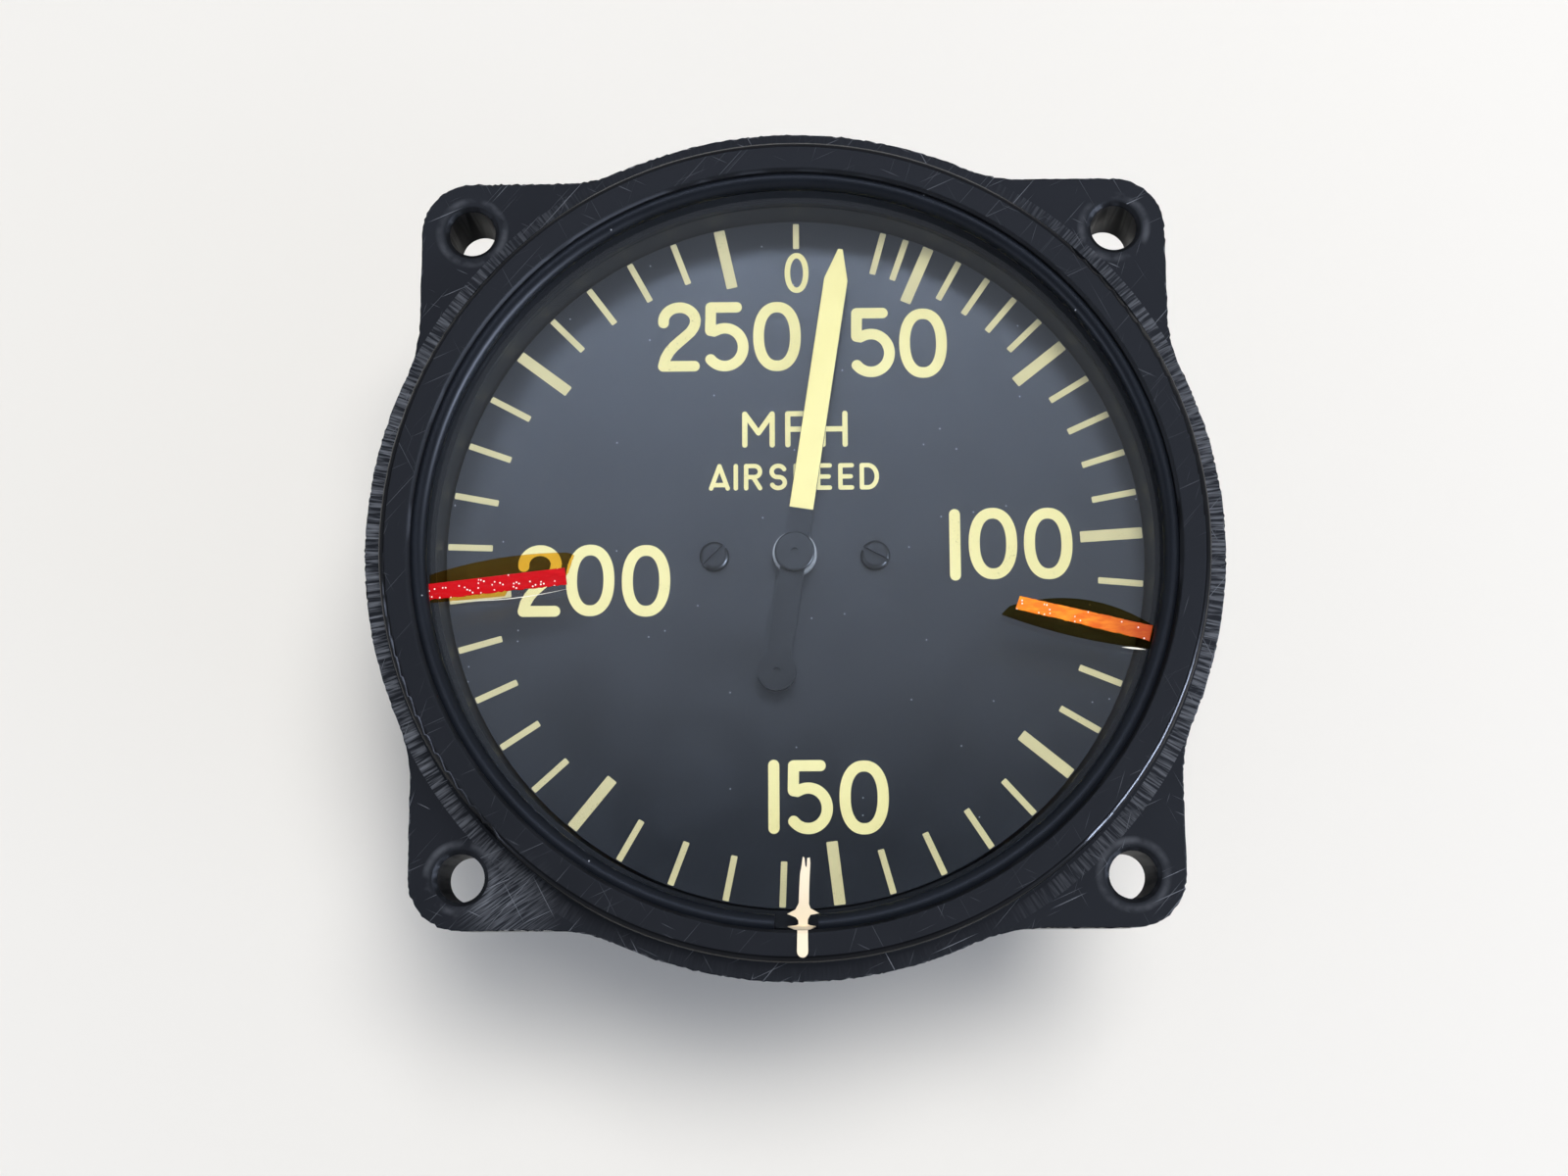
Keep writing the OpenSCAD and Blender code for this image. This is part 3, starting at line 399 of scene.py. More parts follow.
# Moulded resin, ground on its faces: deep black, sharp glints on round edges, a dull front full of marks, and
# painted sheen on the filed sides and on one lug.
PHENOLIC = phenolic()
print("made", PHENOLIC.name)

# %% [markdown]
# ## Paint, rubber and wire
#
# The dial is sheet metal sprayed with matt black, which reads as dark slate under a window.
# A fine orange-peel of about a fifth of a millimetre breaks up its sheen, and the odd grain of dust
# lies on it. The blackened wire, the screws and the pointer's middle share this idea with other
# numbers, so one function makes all dull dark coats and each piece gives its own colours.

# %% Dull dark coats
CLOUD_SIZE = 6
DUST_APART = 1.6


def dusted(tree, place, colour, amount):
    """Lay dust over a colour. A cell's own random value says if it holds a grain, its distance draws it."""
    cells = node(tree, "TexVoronoi", {"Vector": place, "Scale": 1 / DUST_APART}, voronoi_dimensions="2D")
    grain = node(tree, "MapRange", {
        "Value": cells.outputs["Distance"], "From Min": 0.055, "From Max": 0.025})
    lot = node(tree, "SeparateColor", {"Color": cells.outputs["Color"]})
    chosen = node(tree, "Math", {0: lot.outputs["Red"], 1: amount}, operation="LESS_THAN")
    speck = node(tree, "Math", {0: grain, 1: chosen}, operation="MULTIPLY")
    return node(tree, "Mix", {
        SHARE: speck, FIRST: colour, SECOND: linear("#9CA1AA")}, data_type="RGBA")


def dull_coat(name, dark, light, roughness, grain, dust=0.0, gloss=0.5):
    material, tree = start_material(name)
    place = place_in_mm(tree)
    fine = node(tree, "TexNoise", {"Vector": place, "Scale": 1 / grain, "Detail": 3})
    wide = node(tree, "TexNoise", {"Vector": place, "Scale": 1 / CLOUD_SIZE, "Detail": 4})
    cloud = node(tree, "Math", {0: wide, 1: 0.6}, operation="MULTIPLY")
    spot = node(tree, "Math", {0: fine, 1: 0.4, 2: cloud}, operation="MULTIPLY_ADD")
    colour = node(tree, "Mix", {
        SHARE: spot, FIRST: linear(dark), SECOND: linear(light)}, data_type="RGBA")
    if dust:
        colour = dusted(tree, place, colour, dust)
    rough = node(tree, "Math", {0: wide, 1: 0.15, 2: roughness - 0.07}, operation="MULTIPLY_ADD")
    peel = node(tree, "Bump", {"Height": fine, "Strength": 0.025, "Distance": 0.03 * MM})
    end_material(tree, {
        "Base Color": colour, "Roughness": rough, "Normal": peel, "Specular IOR Level": gloss})
    return material


# Sprayed paint: a soft sheen that fades across the dial, fine grain, a few pale specks.
DIAL_PAINT = dull_coat("dial_paint_sprayed_matt", "#0D0F14", "#171A20", 0.335, 0.22, dust=0.035)
# Brushed paint of the same kind: a shade darker than the dial behind it.
POINTER_BLACK = dull_coat("pointer_paint_matt_black", "#0D0F13", "#15181D", 0.35, 0.15, gloss=0.36)
# Blackened steel: dark discs with a weak glint on the edge.
SCREW_BLACK = dull_coat("steel_screw_blackened", "#0B0C10", "#15171D", 0.4, 0.12, gloss=0.33)
# Blackened round wire: almost no shine, and dust that has settled on it.
WIRE_BLACK = dull_coat("spring_wire_blackened", "#08090C", "#161A21", 0.4, 0.2, dust=0.04, gloss=0.1)
# Moulded rubber: flat black without a glint.
GASKET_RUBBER = dull_coat("gasket_rubber_moulded", "#0A0B0D", "#131417", 0.6, 0.2, gloss=0.2)
# Punched fibre sheet: dull red-brown, a little mottled.
FIBRE = dull_coat("vulcanised_fibre_punched", "#3C120B", "#5A2013", 0.65, 0.3)
print("made six dull coats")

# %% [markdown]
# ## Metals
#
# Turned brass, drawn steel, pressed bronze: inside the works the metals are all bare. A lathe leaves
# fine rings and a press leaves a soft mottle, so a stretched noise varies the roughness, and a slow
# noise brings in the brown of old brass. Metals keep the default IOR, as their colour says it all.

# %% Bare metals
STAIN_SIZE = 3
# Turning marks are drawn three times as far apart as real ones, so that they show.
MARK_LENGTH, MARK_APART = 4, 0.15


def bare_metal(name, bright, tarnish, roughness):
    material, tree = start_material(name)
    place = place_in_mm(tree)
    cloud = node(tree, "TexNoise", {"Vector": place, "Scale": 1 / STAIN_SIZE, "Detail": 5})
    lay = node(tree, "Mapping", {
        "Vector": place, "Scale": (MARK_LENGTH, MARK_LENGTH, MARK_APART)}, vector_type="TEXTURE")
    marks = node(tree, "TexNoise", {"Vector": lay, "Scale": 1, "Detail": 2})
    stain = node(tree, "MapRange", {"Value": cloud, "From Min": 0.42, "From Max": 0.75})
    colour = node(tree, "Mix", {
        SHARE: stain, FIRST: linear(bright), SECOND: linear(tarnish)}, data_type="RGBA")
    rough = node(tree, "Math", {0: marks, 1: 0.25, 2: roughness - 0.12}, operation="MULTIPLY_ADD")
    rings = node(tree, "Bump", {"Height": marks, "Strength": 0.15, "Distance": 0.02 * MM})
    end_material(tree, {"Base Color": colour, "Metallic": 1, "Roughness": rough, "Normal": rings})
    return material


# Turned brass: warm gold with fine rings and brown stains.
BRASS = bare_metal("brass_turned", "#C9A35A", "#7D5E2C", 0.34)
# Drawn steel: cool grey, a little streaky.
STEEL = bare_metal("steel_drawn", "#A9ABAE", "#76787C", 0.32)
# Pressed bronze: redder and duller than the brass round it.
BRONZE = bare_metal("spring_bronze_pressed", "#B98A55", "#7A5230", 0.38)
# Tempered ribbon: the blue of a thin skin of oxide.
BLUE_SPRING = bare_metal("spring_ribbon_tempered_blue", "#5C6C92", "#394463", 0.3)
print("made four bare metals")

# %% [markdown]
# ## The bush and its black cap
#
# The pointer's bush is turned aluminium, but its cap was painted with the pointer and only the
# flange underneath stays bright. One solid carries both finishes, so the material changes over
# at the height of the pointer.

# %% Bush with a painted cap
POINTER_TOP = -4.55
PAINT_CREEP = 0.02
SPECK_SIZE = 0.15


def painted_bush():
    material, tree = start_material("aluminium_turned_cap_painted")
    place = place_in_mm(tree)
    split = node(tree, "SeparateXYZ", {"Vector": place})
    capped = node(tree, "Math", {
        0: split.outputs["Z"], 1: POINTER_TOP - PAINT_CREEP}, operation="GREATER_THAN")
    bare = node(tree, "Math", {0: 1.0, 1: capped}, operation="SUBTRACT")
    specks = node(tree, "TexNoise", {"Vector": place, "Scale": 1 / SPECK_SIZE, "Detail": 3})
    paint = node(tree, "Mix", {
        SHARE: specks, FIRST: linear("#0D0F13"), SECOND: linear("#171A20")}, data_type="RGBA")
    colour = node(tree, "Mix", {
        SHARE: capped, FIRST: linear("#94928E"), SECOND: paint}, data_type="RGBA")
    rough = node(tree, "MapRange", {"Value": capped, "To Min": 0.5, "To Max": 0.38})
    end_material(tree, {
        "Base Color": colour, "Metallic": bare, "Roughness": rough, "Specular IOR Level": 0.38})
    return material


# Turned aluminium under paint: a bright crescent below a dull black cap.
PAINTED_BUSH = painted_bush()
print("made", PAINTED_BUSH.name)

# %% [markdown]
# ## Glass
#
# The cover is plain flat glass, 2.5 mm thick. A glass shader bends the view as the real pane does,
# which lifts the dial a little towards the eye. It would also keep the lamps off the dial, so rays
# that carry light to and from the dial pass straight through by way of a Transparent shader.

# %% Cover glass
def cover_glass():
    material, tree = start_material("glass_flat_polished")
    tint = linear("#FAFCFC")
    pane = node(tree, "BsdfPrincipled", {
        "Base Color": tint, "Roughness": 0.0, "IOR": 1.5, "Transmission Weight": 1.0})
    clear = node(tree, "BsdfTransparent", {"Color": tint})
    ray = node(tree, "LightPath")
    # A ray inside the pane counts as glossy too, and it still has to bend on its way out.
    straight = node(tree, "Math", {
        0: ray.outputs["Is Glossy Ray"], 1: ray.outputs["Is Transmission Ray"]},
        operation="SUBTRACT", use_clamp=True)
    for kind in ("Is Diffuse Ray", "Is Shadow Ray"):
        straight = node(tree, "Math", {0: straight, 1: ray.outputs[kind]}, operation="MAXIMUM")
    either = node(tree, "MixShader", {0: straight, 1: pane, 2: clear})
    node(tree, "OutputMaterial", {"Surface": either})
    return material


# Polished plate glass: clear, with a faint pale veil where it mirrors the sky.
COVER_GLASS = cover_glass()
print("made", COVER_GLASS.name)

# %% [markdown]
# ## Pale luminous paint
#
# The figures and the pointer are filled with an old luminous compound: cream with a green-yellow
# cast, chalky, with dark grains where it has begun to crumble. The grains are what a plain colour
# would miss, so they get a noise of their own, thinned out by a slower one.

# %% Luminous paint
TINT_SIZE = 5
GRAIN_SIZE = 0.16


def luminous(name, pale, deep, grains):
    material, tree = start_material(name)
    place = place_in_mm(tree)
    cloud = node(tree, "TexNoise", {"Vector": place, "Scale": 1 / TINT_SIZE, "Detail": 3})
    grain = node(tree, "TexNoise", {"Vector": place, "Scale": 1 / GRAIN_SIZE, "Detail": 2})
    dark = node(tree, "MapRange", {"Value": grain, "From Min": 0.63, "From Max": 0.72})
    where = node(tree, "MapRange", {
        "Value": cloud, "From Min": 0.48, "From Max": 0.66, "To Max": grains})
    crumbs = node(tree, "Math", {0: dark, 1: where}, operation="MULTIPLY")
    cream = node(tree, "Mix", {
        SHARE: cloud, FIRST: linear(pale), SECOND: linear(deep)}, data_type="RGBA")
    colour = node(tree, "Mix", {
        SHARE: crumbs, FIRST: cream, SECOND: linear("#6E6334")}, data_type="RGBA")
    chalk = node(tree, "Bump", {"Height": grain, "Strength": 0.25, "Distance": 0.02 * MM})
    end_material(tree, {"Base Color": colour, "Normal": chalk, "Roughness": 0.7})
    return material


# Printed thick: chalky cream that takes no glint.
LUMINOUS_INK = luminous("luminous_ink_printed", "#F6ECAE", "#E8DA98", 0.55)
# For the scale marks: a darker cream, painted shade from the rim's wall.
PAINTED_SHADE_INK = luminous("luminous_ink_painted_shade", "#DED3A2", "#C9BE92", 0.6)
# Brushed on: the most yellow, and the least crumbled.
LUMINOUS_PAINT = luminous("luminous_paint_brushed", "#F7EBA6", "#EBDB92", 0.45)
print("made three luminous paints")

# %% [markdown]
# ## Give every solid its finish
#
# The solids already ride on their bodies. Only the material slot is new here: clearing it and
# appending ours keeps the mesh as it was packed. What isn't named is brass.

# %% Dress the solids
FINISHES = {
    PHENOLIC: ["case"],
    COVER_GLASS: ["glass"],
    GASKET_RUBBER: ["glass_gasket"],
    WIRE_BLACK: ["snap_ring"],
    DIAL_PAINT: ["dial"],
    SCREW_BLACK: ["dial_screws"],
    POINTER_BLACK: ["pointer"],
    PAINTED_BUSH: ["pointer_bush"],
    FIBRE: ["base_screw_washers"],
    BRONZE: ["rear_diaphragm", "front_diaphragm"],
    BLUE_SPRING: ["hairspring"],
    STEEL: ["base_screws", "plate_screws", "bearing_screws", "rocking_shaft", "sector_arbor",
            "sector_pin", "hand_staff"],
}
dressed = {name: material for material, names in FINISHES.items() for name in names}
for name, solid in frame["nodes"].items():
    solid.data.materials.clear()
    solid.data.materials.append(dressed.get(name, BRASS))
print("dressed", len(frame["nodes"]), "solids")

# %% [markdown]
# ## A chipped rim
#
# Phenolic is brittle, and the sawn rim of the flange has lost crumbs all the way round. The solid's
# edge is perfect, so a copy of the case takes its place. We merge the copy, pick the edges where the
# flat front meets the wall, split them until they are as short as a crumb, and shake their points.
# Scaling their height to nothing puts them back in the plane of the front, which has to stay flat.

# %% Finding the rim
def rim_edges(mesh):
    """Edges between the flat front of the flange and its outer wall."""
    flats, walls = set(), set()
    for face in mesh.polygons:
        if face.normal.z > 0.9:
            flats.update(face.edge_keys)
        elif abs(face.normal.z) < 0.3:
            walls.update(face.edge_keys)
    picked = []
    for edge in mesh.edges:
        ends = [mesh.vertices[v].co / MM for v in edge.vertices]
        in_hole = all(math.hypot(abs(p.x) - LUG_AT, abs(p.y) - LUG_AT) < RUB_R for p in ends)
        outer = all(abs(p.z) < 0.01 and math.hypot(p.x, p.y) > FLANGE_R for p in ends)
        if outer and not in_hole and edge.key in flats and edge.key in walls:
            picked.append(edge.index)
    return picked


def edge_length(mesh, index):
    start, end = (mesh.vertices[v].co for v in mesh.edges[index].vertices)
    return (start - end).length


def select_edges(piece, edges):
    start_edit(piece)
    bpy.ops.mesh.select_mode(type="EDGE")
    bpy.ops.mesh.select_all(action="DESELECT")
    end_edit()
    for index in edges:
        piece.data.edges[index].select = True
    bpy.ops.object.mode_set(mode="EDIT")


print("ready to find the rim")

# %% Chipped case
CRUMB = 0.45
CHIP_DEPTH = 0.11
MOST_HALVINGS = 7
SMOOTH_UNDER = 28

chipped_case = copied(frame["nodes"]["case"])
pick(chipped_case)
bpy.ops.object.parent_clear(type="CLEAR_KEEP_TRANSFORM")
clean_mesh(chipped_case)
for halving in range(MOST_HALVINGS):
    mesh = chipped_case.data
    long_edges = [i for i in rim_edges(mesh) if edge_length(mesh, i) > CRUMB * MM]
    if not long_edges:
        break
    select_edges(chipped_case, long_edges)
    bpy.ops.mesh.subdivide(number_cuts=1)
    end_edit()
crumbs = rim_edges(chipped_case.data)
print("shaking", len(crumbs), "short edges of the rim")
select_edges(chipped_case, crumbs)
bpy.ops.transform.vertex_random(offset=CHIP_DEPTH * MM, uniform=0.0, normal=0.0, seed=5)
bpy.ops.transform.resize(value=(1, 1, 0), center_override=(0, 0, 0))
end_edit()
bpy.ops.object.shade_smooth_by_angle(angle=math.radians(SMOOTH_UNDER))
# Smoothing would bend the light over the long flat faces towards their rounded edges, so these stay flat.
for face in chipped_case.data.polygons:
    face.use_smooth = abs(face.normal.z) < 0.999
finish_piece(chipped_case, "case_chipped", "housing", PHENOLIC)
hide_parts("case")

# %% [markdown]
# ## Printing the scale
#
# The marks were screen printed, so each is a thin slab of ink with slightly soft corners. One mark
# is modelled: a plane, its corners bevelled, pulled up by the thickness of the ink. Copies of it
# are turned to their speeds. An airspeed scale isn't even, so the nine long marks have their own
# angles, and the short ones divide the space between them.

# %% One mark
DIAL_FACE = -7.0
INK = 0.04
MARK_CORNER = 0.09


def flat_strip(width, inner, outer, height):
    """A plane along Y, between two distances from the pivot."""
    deselect()
    bpy.ops.mesh.primitive_plane_add(size=1, location=(0, (inner + outer) / 2 * MM, height * MM))
    strip = bpy.context.object
    strip.scale = (width * MM, (outer - inner) * MM, 1)
    set_in_place(strip)
    return strip


def pull_up(thickness):
    bpy.ops.mesh.select_all(action="SELECT")
    bpy.ops.mesh.extrude_region_move(TRANSFORM_OT_translate={"value": (0, 0, thickness * MM)})


def scale_mark(width, inner, outer):
    mark = flat_strip(width, inner, outer, DIAL_FACE)
    start_edit(mark)
    bpy.ops.mesh.bevel(offset=MARK_CORNER * MM, segments=2, affect="VERTICES")
    pull_up(INK)
    end_edit()
    clean_mesh(mark)
    return mark


# Each mark's width, inner end and outer end.
long_mark, short_mark = scale_mark(1.1, 28.1, 34.2), scale_mark(0.62, 29.8, 34.2)
zero_mark = scale_mark(0.6, 31.45, 34.05)
print("modelled three marks")

# %% Scale marks
LONG_MARKS = [(50, 23.47), (75, 51.66), (100, 86.45), (125, 129.08), (150, 173.06),
              (175, 219.31), (200, 263.3), (225, 306.9), (250, 347.4)]
FIRST_SHORT = [15.42, 19.43]
ZERO_ASIDE = 0.3


def turned_copy(piece, clockwise):
    copy = copied(piece)
    copy.rotation_euler.z = -math.radians(clockwise)
    return copy


short_angles = list(FIRST_SHORT)
for (_, start), (_, end) in zip(LONG_MARKS, LONG_MARKS[1:]):
    short_angles += [start + (end - start) * i / 5 for i in range(1, 5)]
zero_mark.location.x = ZERO_ASIDE * MM
marks = [turned_copy(long_mark, angle) for _, angle in LONG_MARKS]
marks += [turned_copy(short_mark, angle) for angle in short_angles]
bpy.data.objects.remove(long_mark)
bpy.data.objects.remove(short_mark)
set_in_place(zero_mark, *marks)
# The scale marks take the darker cream, painted shade from the rim's wall.
finish_piece(joined([zero_mark] + marks), "scale_marks", "housing", PAINTED_SHADE_INK)

# %% [markdown]
# ## A round-nosed pen for the figures
#
# The figures look as if engraved with a round cutter: every stroke has one width and a round end.
# A font would miss that, so we draw each stroke as a path, walk along both sides of it at half the
# width and close the ends with half circles. The outline becomes a flat curve, which Blender fills
# and gives a thickness, and then a mesh. Strokes that cross are united by a boolean on themselves.

# %% Outlines of a stroke
def arc(x, y, across, up, start, end, steps=24):
    angles = [math.radians(start + (end - start) * i / steps) for i in range(steps + 1)]
    return [(x + across * math.cos(a), y + up * math.sin(a)) for a in angles]


def pen_edges(path, width, closed):
    count, half = len(path), width / 2
    left, right, ends = [], [], []
    for i, (x, y) in enumerate(path):
        before = path[i - 1] if closed or i else path[0]
        after = path[(i + 1) % count] if closed or i + 1 < count else path[-1]
        heading = math.atan2(after[1] - before[1], after[0] - before[0])
        side = (-math.sin(heading) * half, math.cos(heading) * half)
        left.append((x + side[0], y + side[1]))
        right.append((x - side[0], y - side[1]))
        ends.append(math.degrees(heading))
    if closed:
        return [left, right]
    far = arc(*path[-1], half, half, ends[-1] + 90, ends[-1] - 90, 12)[1:-1]
    near = arc(*path[0], half, half, ends[0] - 90, ends[0] - 270, 12)[1:-1]
    return [left + far + right[::-1] + near]


print("a stroke of two points has", len(pen_edges([(0, 0), (1, 0)], 1, False)[0]), "outline points")

# %% From outline to sheet
def flat_sheet(outlines, thickness, rim=0.0):
    curve = bpy.data.curves.new("outline", "CURVE")
    curve.dimensions = "2D"
    curve.fill_mode = "BOTH"
    curve.extrude = (thickness / 2 - rim) * MM
    curve.bevel_depth = rim * MM
    curve.offset = -rim * MM
    for outline in outlines:
        spline = curve.splines.new("POLY")
        spline.points.add(len(outline) - 1)
        spline.use_cyclic_u = True
        for point, (x, y) in zip(spline.points, outline):
            point.co = (x * MM, y * MM, 0, 1)
    sheet = bpy.data.objects.new("outline", curve)
    bpy.context.collection.objects.link(sheet)
    pick(sheet)
    bpy.ops.object.convert(target="MESH")
    clean_mesh(sheet)
    return sheet


def drawn_sign(strokes, x, y, width):
    sheets = []
    for stroke in strokes:
        closed = stroke[0] == stroke[-1]
        path = stroke[:-1] if closed else stroke
        sheets.append(flat_sheet(pen_edges(path, width, closed), INK))
    sign = joined(sheets)
    if len(strokes) > 1:
        start_edit(sign)
        bpy.ops.mesh.intersect_boolean(operation="UNION", use_self=True, solver="EXACT")
        end_edit()
    sign.location = (x * MM, y * MM, (DIAL_FACE + INK / 2) * MM)
    set_in_place(sign)
    return sign


print("pen ready")

# %% [markdown]
# ## The figures
#
# Four shapes are enough for every speed on this dial: 0, 1, 2 and 5. Each is a list of strokes about
# its own middle, in millimetres. The 0 is an oval with slightly square shoulders, the 2 sweeps down
# on a long diagonal, and the bowl of the 5 is almost a full turn. The zero mark has a small 0.

# %% Figures
TALL = 3.03
FIGURE_PEN, ZERO_PEN = 1.08, 0.56


def oval(across, up, square=2.25, steps=56):
    turn = [2 * math.pi * i / steps for i in range(steps)]
    power = 2 / square
    points = [(across * math.copysign(abs(math.cos(a)) ** power, math.cos(a)),
               up * math.copysign(abs(math.sin(a)) ** power, math.sin(a))) for a in turn]
    return points + points[:1]


FIGURES = {
    "0": [oval(1.84, TALL)],
    "1": [[(0, -TALL), (0, TALL)]],
    "2": [arc(0, 1.6, 1.6, 1.43, 186, 4) + [(1.55, 1.3), (1.42, 0.95), (1.12, 0.5), (0.6, 0.02), (0.0, -0.5),
                                            (-0.55, -1.0), (-1.02, -1.55), (-1.38, -2.2), (-1.58, -2.95)],
          [(-1.6, -TALL), (1.5, -TALL)]],
    "5": [[(-1.48, TALL), (1.1, TALL)], [(-1.48, TALL), (-1.52, 0.66)],
          [(-1.5, 0.62)] + arc(-0.08, -1.08, 1.84, 1.95, 124, -140, 34)],
}
FIGURE_PLACES = {
    "250": [(-11.42, 22.42), (-6.80, 22.40), (-1.66, 22.38)],
    "50": [(7.80, 21.67), (12.92, 21.56)],
    "100": [(15.75, 1.06), (19.48, 1.16), (24.90, 1.12)],
    "150": [(-2.17, -23.56), (1.23, -23.61), (6.55, -23.67)],
    "200": [(-25.09, -2.24), (-20.13, -2.22), (-14.64, -2.30)],
}
figures = [drawn_sign(FIGURES[sign], x, y, FIGURE_PEN)
           for number, places in FIGURE_PLACES.items() for sign, (x, y) in zip(number, places)]
figures.append(drawn_sign([oval(0.92, 1.8, 2.1)], 0.34, 28.95, ZERO_PEN))
finish_piece(joined(figures), "scale_figures", "housing", LUMINOUS_INK)

# %% [markdown]
# ## Unit and function
#
# Below the figures the dial says what it measures and in which unit. The letters use the same pen
# with a thinner nose. Each letter is drawn between its own left and right edge, so the spacing of the
# print is kept.

# %% Lettering
def lettering(letters, middle, half, pen):
    up, down, bowl = middle + half, middle - half, half * 0.5
    signs = []
    for letter, left, right in letters:
        mid, wide = (left + right) / 2, right - left
        stem = [(left, down), (left, up)]
        round_top = ([(left, up)] + arc(right - bowl, up - bowl, bowl, bowl, 90, -90, 12)
                     + [(left, up - 2 * bowl)])
        dip = (mid, middle - 0.22 * half)
        bar = down + 0.3 * half
        strokes = {
            "M": [stem, [(left, up), dip], [dip, (right, up)], [(right, up), (right, down)]],
            "P": [stem, round_top],
            "H": [stem, [(right, down), (right, up)], [(left, middle), (right, middle)]],
            "A": [[(left, down), (mid, up)], [(mid, up), (right, down)],
                  [(left + 0.2 * wide, bar), (right - 0.2 * wide, bar)]],
            "I": [[(mid, down), (mid, up)]],
            "R": [stem, round_top, [(mid, middle), (right, down)]],
            "S": [arc(mid, middle + half * 0.48, wide / 2, half * 0.52, 25, 250, 18)
                  + arc(mid, middle - half * 0.5, wide / 2, half * 0.5, 70, -155, 18)],
            "E": [stem, [(left, up), (right, up)], [(left, middle), (right - 0.1 * wide, middle)],
                  [(left, down), (right, down)]],
            "D": [stem, [(left, up)] + arc(mid - 0.1 * wide, middle, 0.6 * wide, half, 90, -90, 16)
                  + [(left, down)]],
        }[letter]
        signs.append(drawn_sign(strokes, 0, 0, pen))
    return signs


UNIT = [("M", -4.9, -2.18), ("P", -0.63, 1.75), ("H", 2.87, 5.05)]
FUNCTION = [("A", -8.24, -6.6), ("I", -5.95, -5.65), ("R", -4.78, -3.4), ("S", -2.25, -0.95),
            ("P", 0.12, 1.35), ("E", 2.35, 3.5), ("E", 4.55, 5.68), ("D", 6.67, 8.15)]
words = (lettering(UNIT, middle=12.85, half=1.57, pen=0.53)
         + lettering(FUNCTION, middle=8.02, half=1.12, pen=0.44))
finish_piece(joined(words), "dial_lettering", "housing", LUMINOUS_INK)

# %% [markdown]
# ## Paint on the pointer
#
# The long half of the pointer carries a layer of luminous paint from near the hub to the tip. We
# start from a plane along the pointer, pull its far edge out to the tip, narrow it there, and give
# it the thickness of a brushed coat with a rounded edge. Then it is turned to where the pointer rests.

# %% Pointer paint
POINTER_REST = 8.8
PAINT_FROM, SHOULDER, TIP = 4.4, 27.8, 30.96
PAINT_HALF, TIP_HALF, PAINT_COAT, PAINT_ROUND = 1.17, 0.23, 0.09, 0.04

pointer_paint = flat_strip(2 * PAINT_HALF, PAINT_FROM, SHOULDER, POINTER_TOP)
points = pointer_paint.data.vertices
far_edges = [edge.index for edge in pointer_paint.data.edges
             if all(points[v].co.y > (SHOULDER - 0.1) * MM for v in edge.vertices)]
select_edges(pointer_paint, far_edges)
bpy.ops.mesh.extrude_region_move(TRANSFORM_OT_translate={"value": (0, (TIP - SHOULDER) * MM, 0)})
bpy.ops.transform.resize(value=(TIP_HALF / PAINT_HALF, 1, 1))
pull_up(PAINT_COAT)
end_edit()
clean_mesh(pointer_paint)
use_modifier(pointer_paint, "BEVEL", width=PAINT_ROUND * MM, segments=2, limit_method="ANGLE")
pointer_paint.rotation_euler.z = -math.radians(POINTER_REST)
finish_piece(pointer_paint, "pointer_luminous_paint", "hand", LUMINOUS_PAINT)

# %% [markdown]
# ## Enamel for the marks on the glass
#
# Two strips of enamel on the glass show speeds to keep to. The brush left long runs, lighter where they are
# thick, and bubbles whose glints are painted as white specks. The shade shifts along each strip, so a ramp
# along X blends two colours. Noise stretched along the strip draws the runs, and a few random cells hold the
# painted white glint of a bubble. The glints are drawn larger than real ones, so that they show.

# %% Strip enamel
BUBBLE_GLINT_APART = 0.26
RUN_SIZE = (1.4, 0.4, 1)


def strip_enamel(name, inner, outer, thick, along, bubble_glint_share):
    material, tree = start_material(name)
    place = place_in_mm(tree)
    split = node(tree, "SeparateXYZ", {"Vector": place})
    reach = node(tree, "MapRange", {
        "Value": split.outputs["X"], "From Min": along[0], "From Max": along[1]})
    shade = node(tree, "Mix", {
        SHARE: reach, FIRST: linear(inner), SECOND: linear(outer)}, data_type="RGBA")
    cells = node(tree, "TexVoronoi", {
        "Vector": place, "Scale": 1 / BUBBLE_GLINT_APART}, voronoi_dimensions="2D")
    dot = node(tree, "MapRange", {"Value": cells.outputs["Distance"], "From Min": 0.34, "From Max": 0.2})
    lot = node(tree, "SeparateColor", {"Color": cells.outputs["Color"]})
    chosen = node(tree, "Math", {0: lot.outputs["Red"], 1: bubble_glint_share}, operation="LESS_THAN")
    painted_bubble_glint = node(tree, "Math", {0: dot, 1: chosen}, operation="MULTIPLY")
    lay = node(tree, "Mapping", {"Vector": place, "Scale": RUN_SIZE}, vector_type="TEXTURE")
    runs = node(tree, "TexNoise", {"Vector": lay, "Scale": 1, "Detail": 3})
    ridge = node(tree, "MapRange", {"Value": runs, "From Min": 0.42, "From Max": 0.68, "To Max": 0.8})
    fading = node(tree, "Math", {0: 1.0, 1: reach}, operation="SUBTRACT")
    ridges = node(tree, "Math", {0: ridge, 1: fading}, operation="MULTIPLY")
    lumpy = node(tree, "Mix", {
        SHARE: ridges, FIRST: shade, SECOND: linear(thick)}, data_type="RGBA")
    # Painted highlight: the glints of bubbles as near-white specks in the colour.
    colour = node(tree, "Mix", {
        SHARE: painted_bubble_glint, FIRST: lumpy, SECOND: linear("#FFF1EA")}, data_type="RGBA")
    waves = node(tree, "Bump", {"Height": runs, "Strength": 0.35, "Distance": 0.06 * MM})
    end_material(tree, {"Base Color": colour, "Normal": waves, "Roughness": 0.22, "Specular IOR Level": 0.15})
    return material


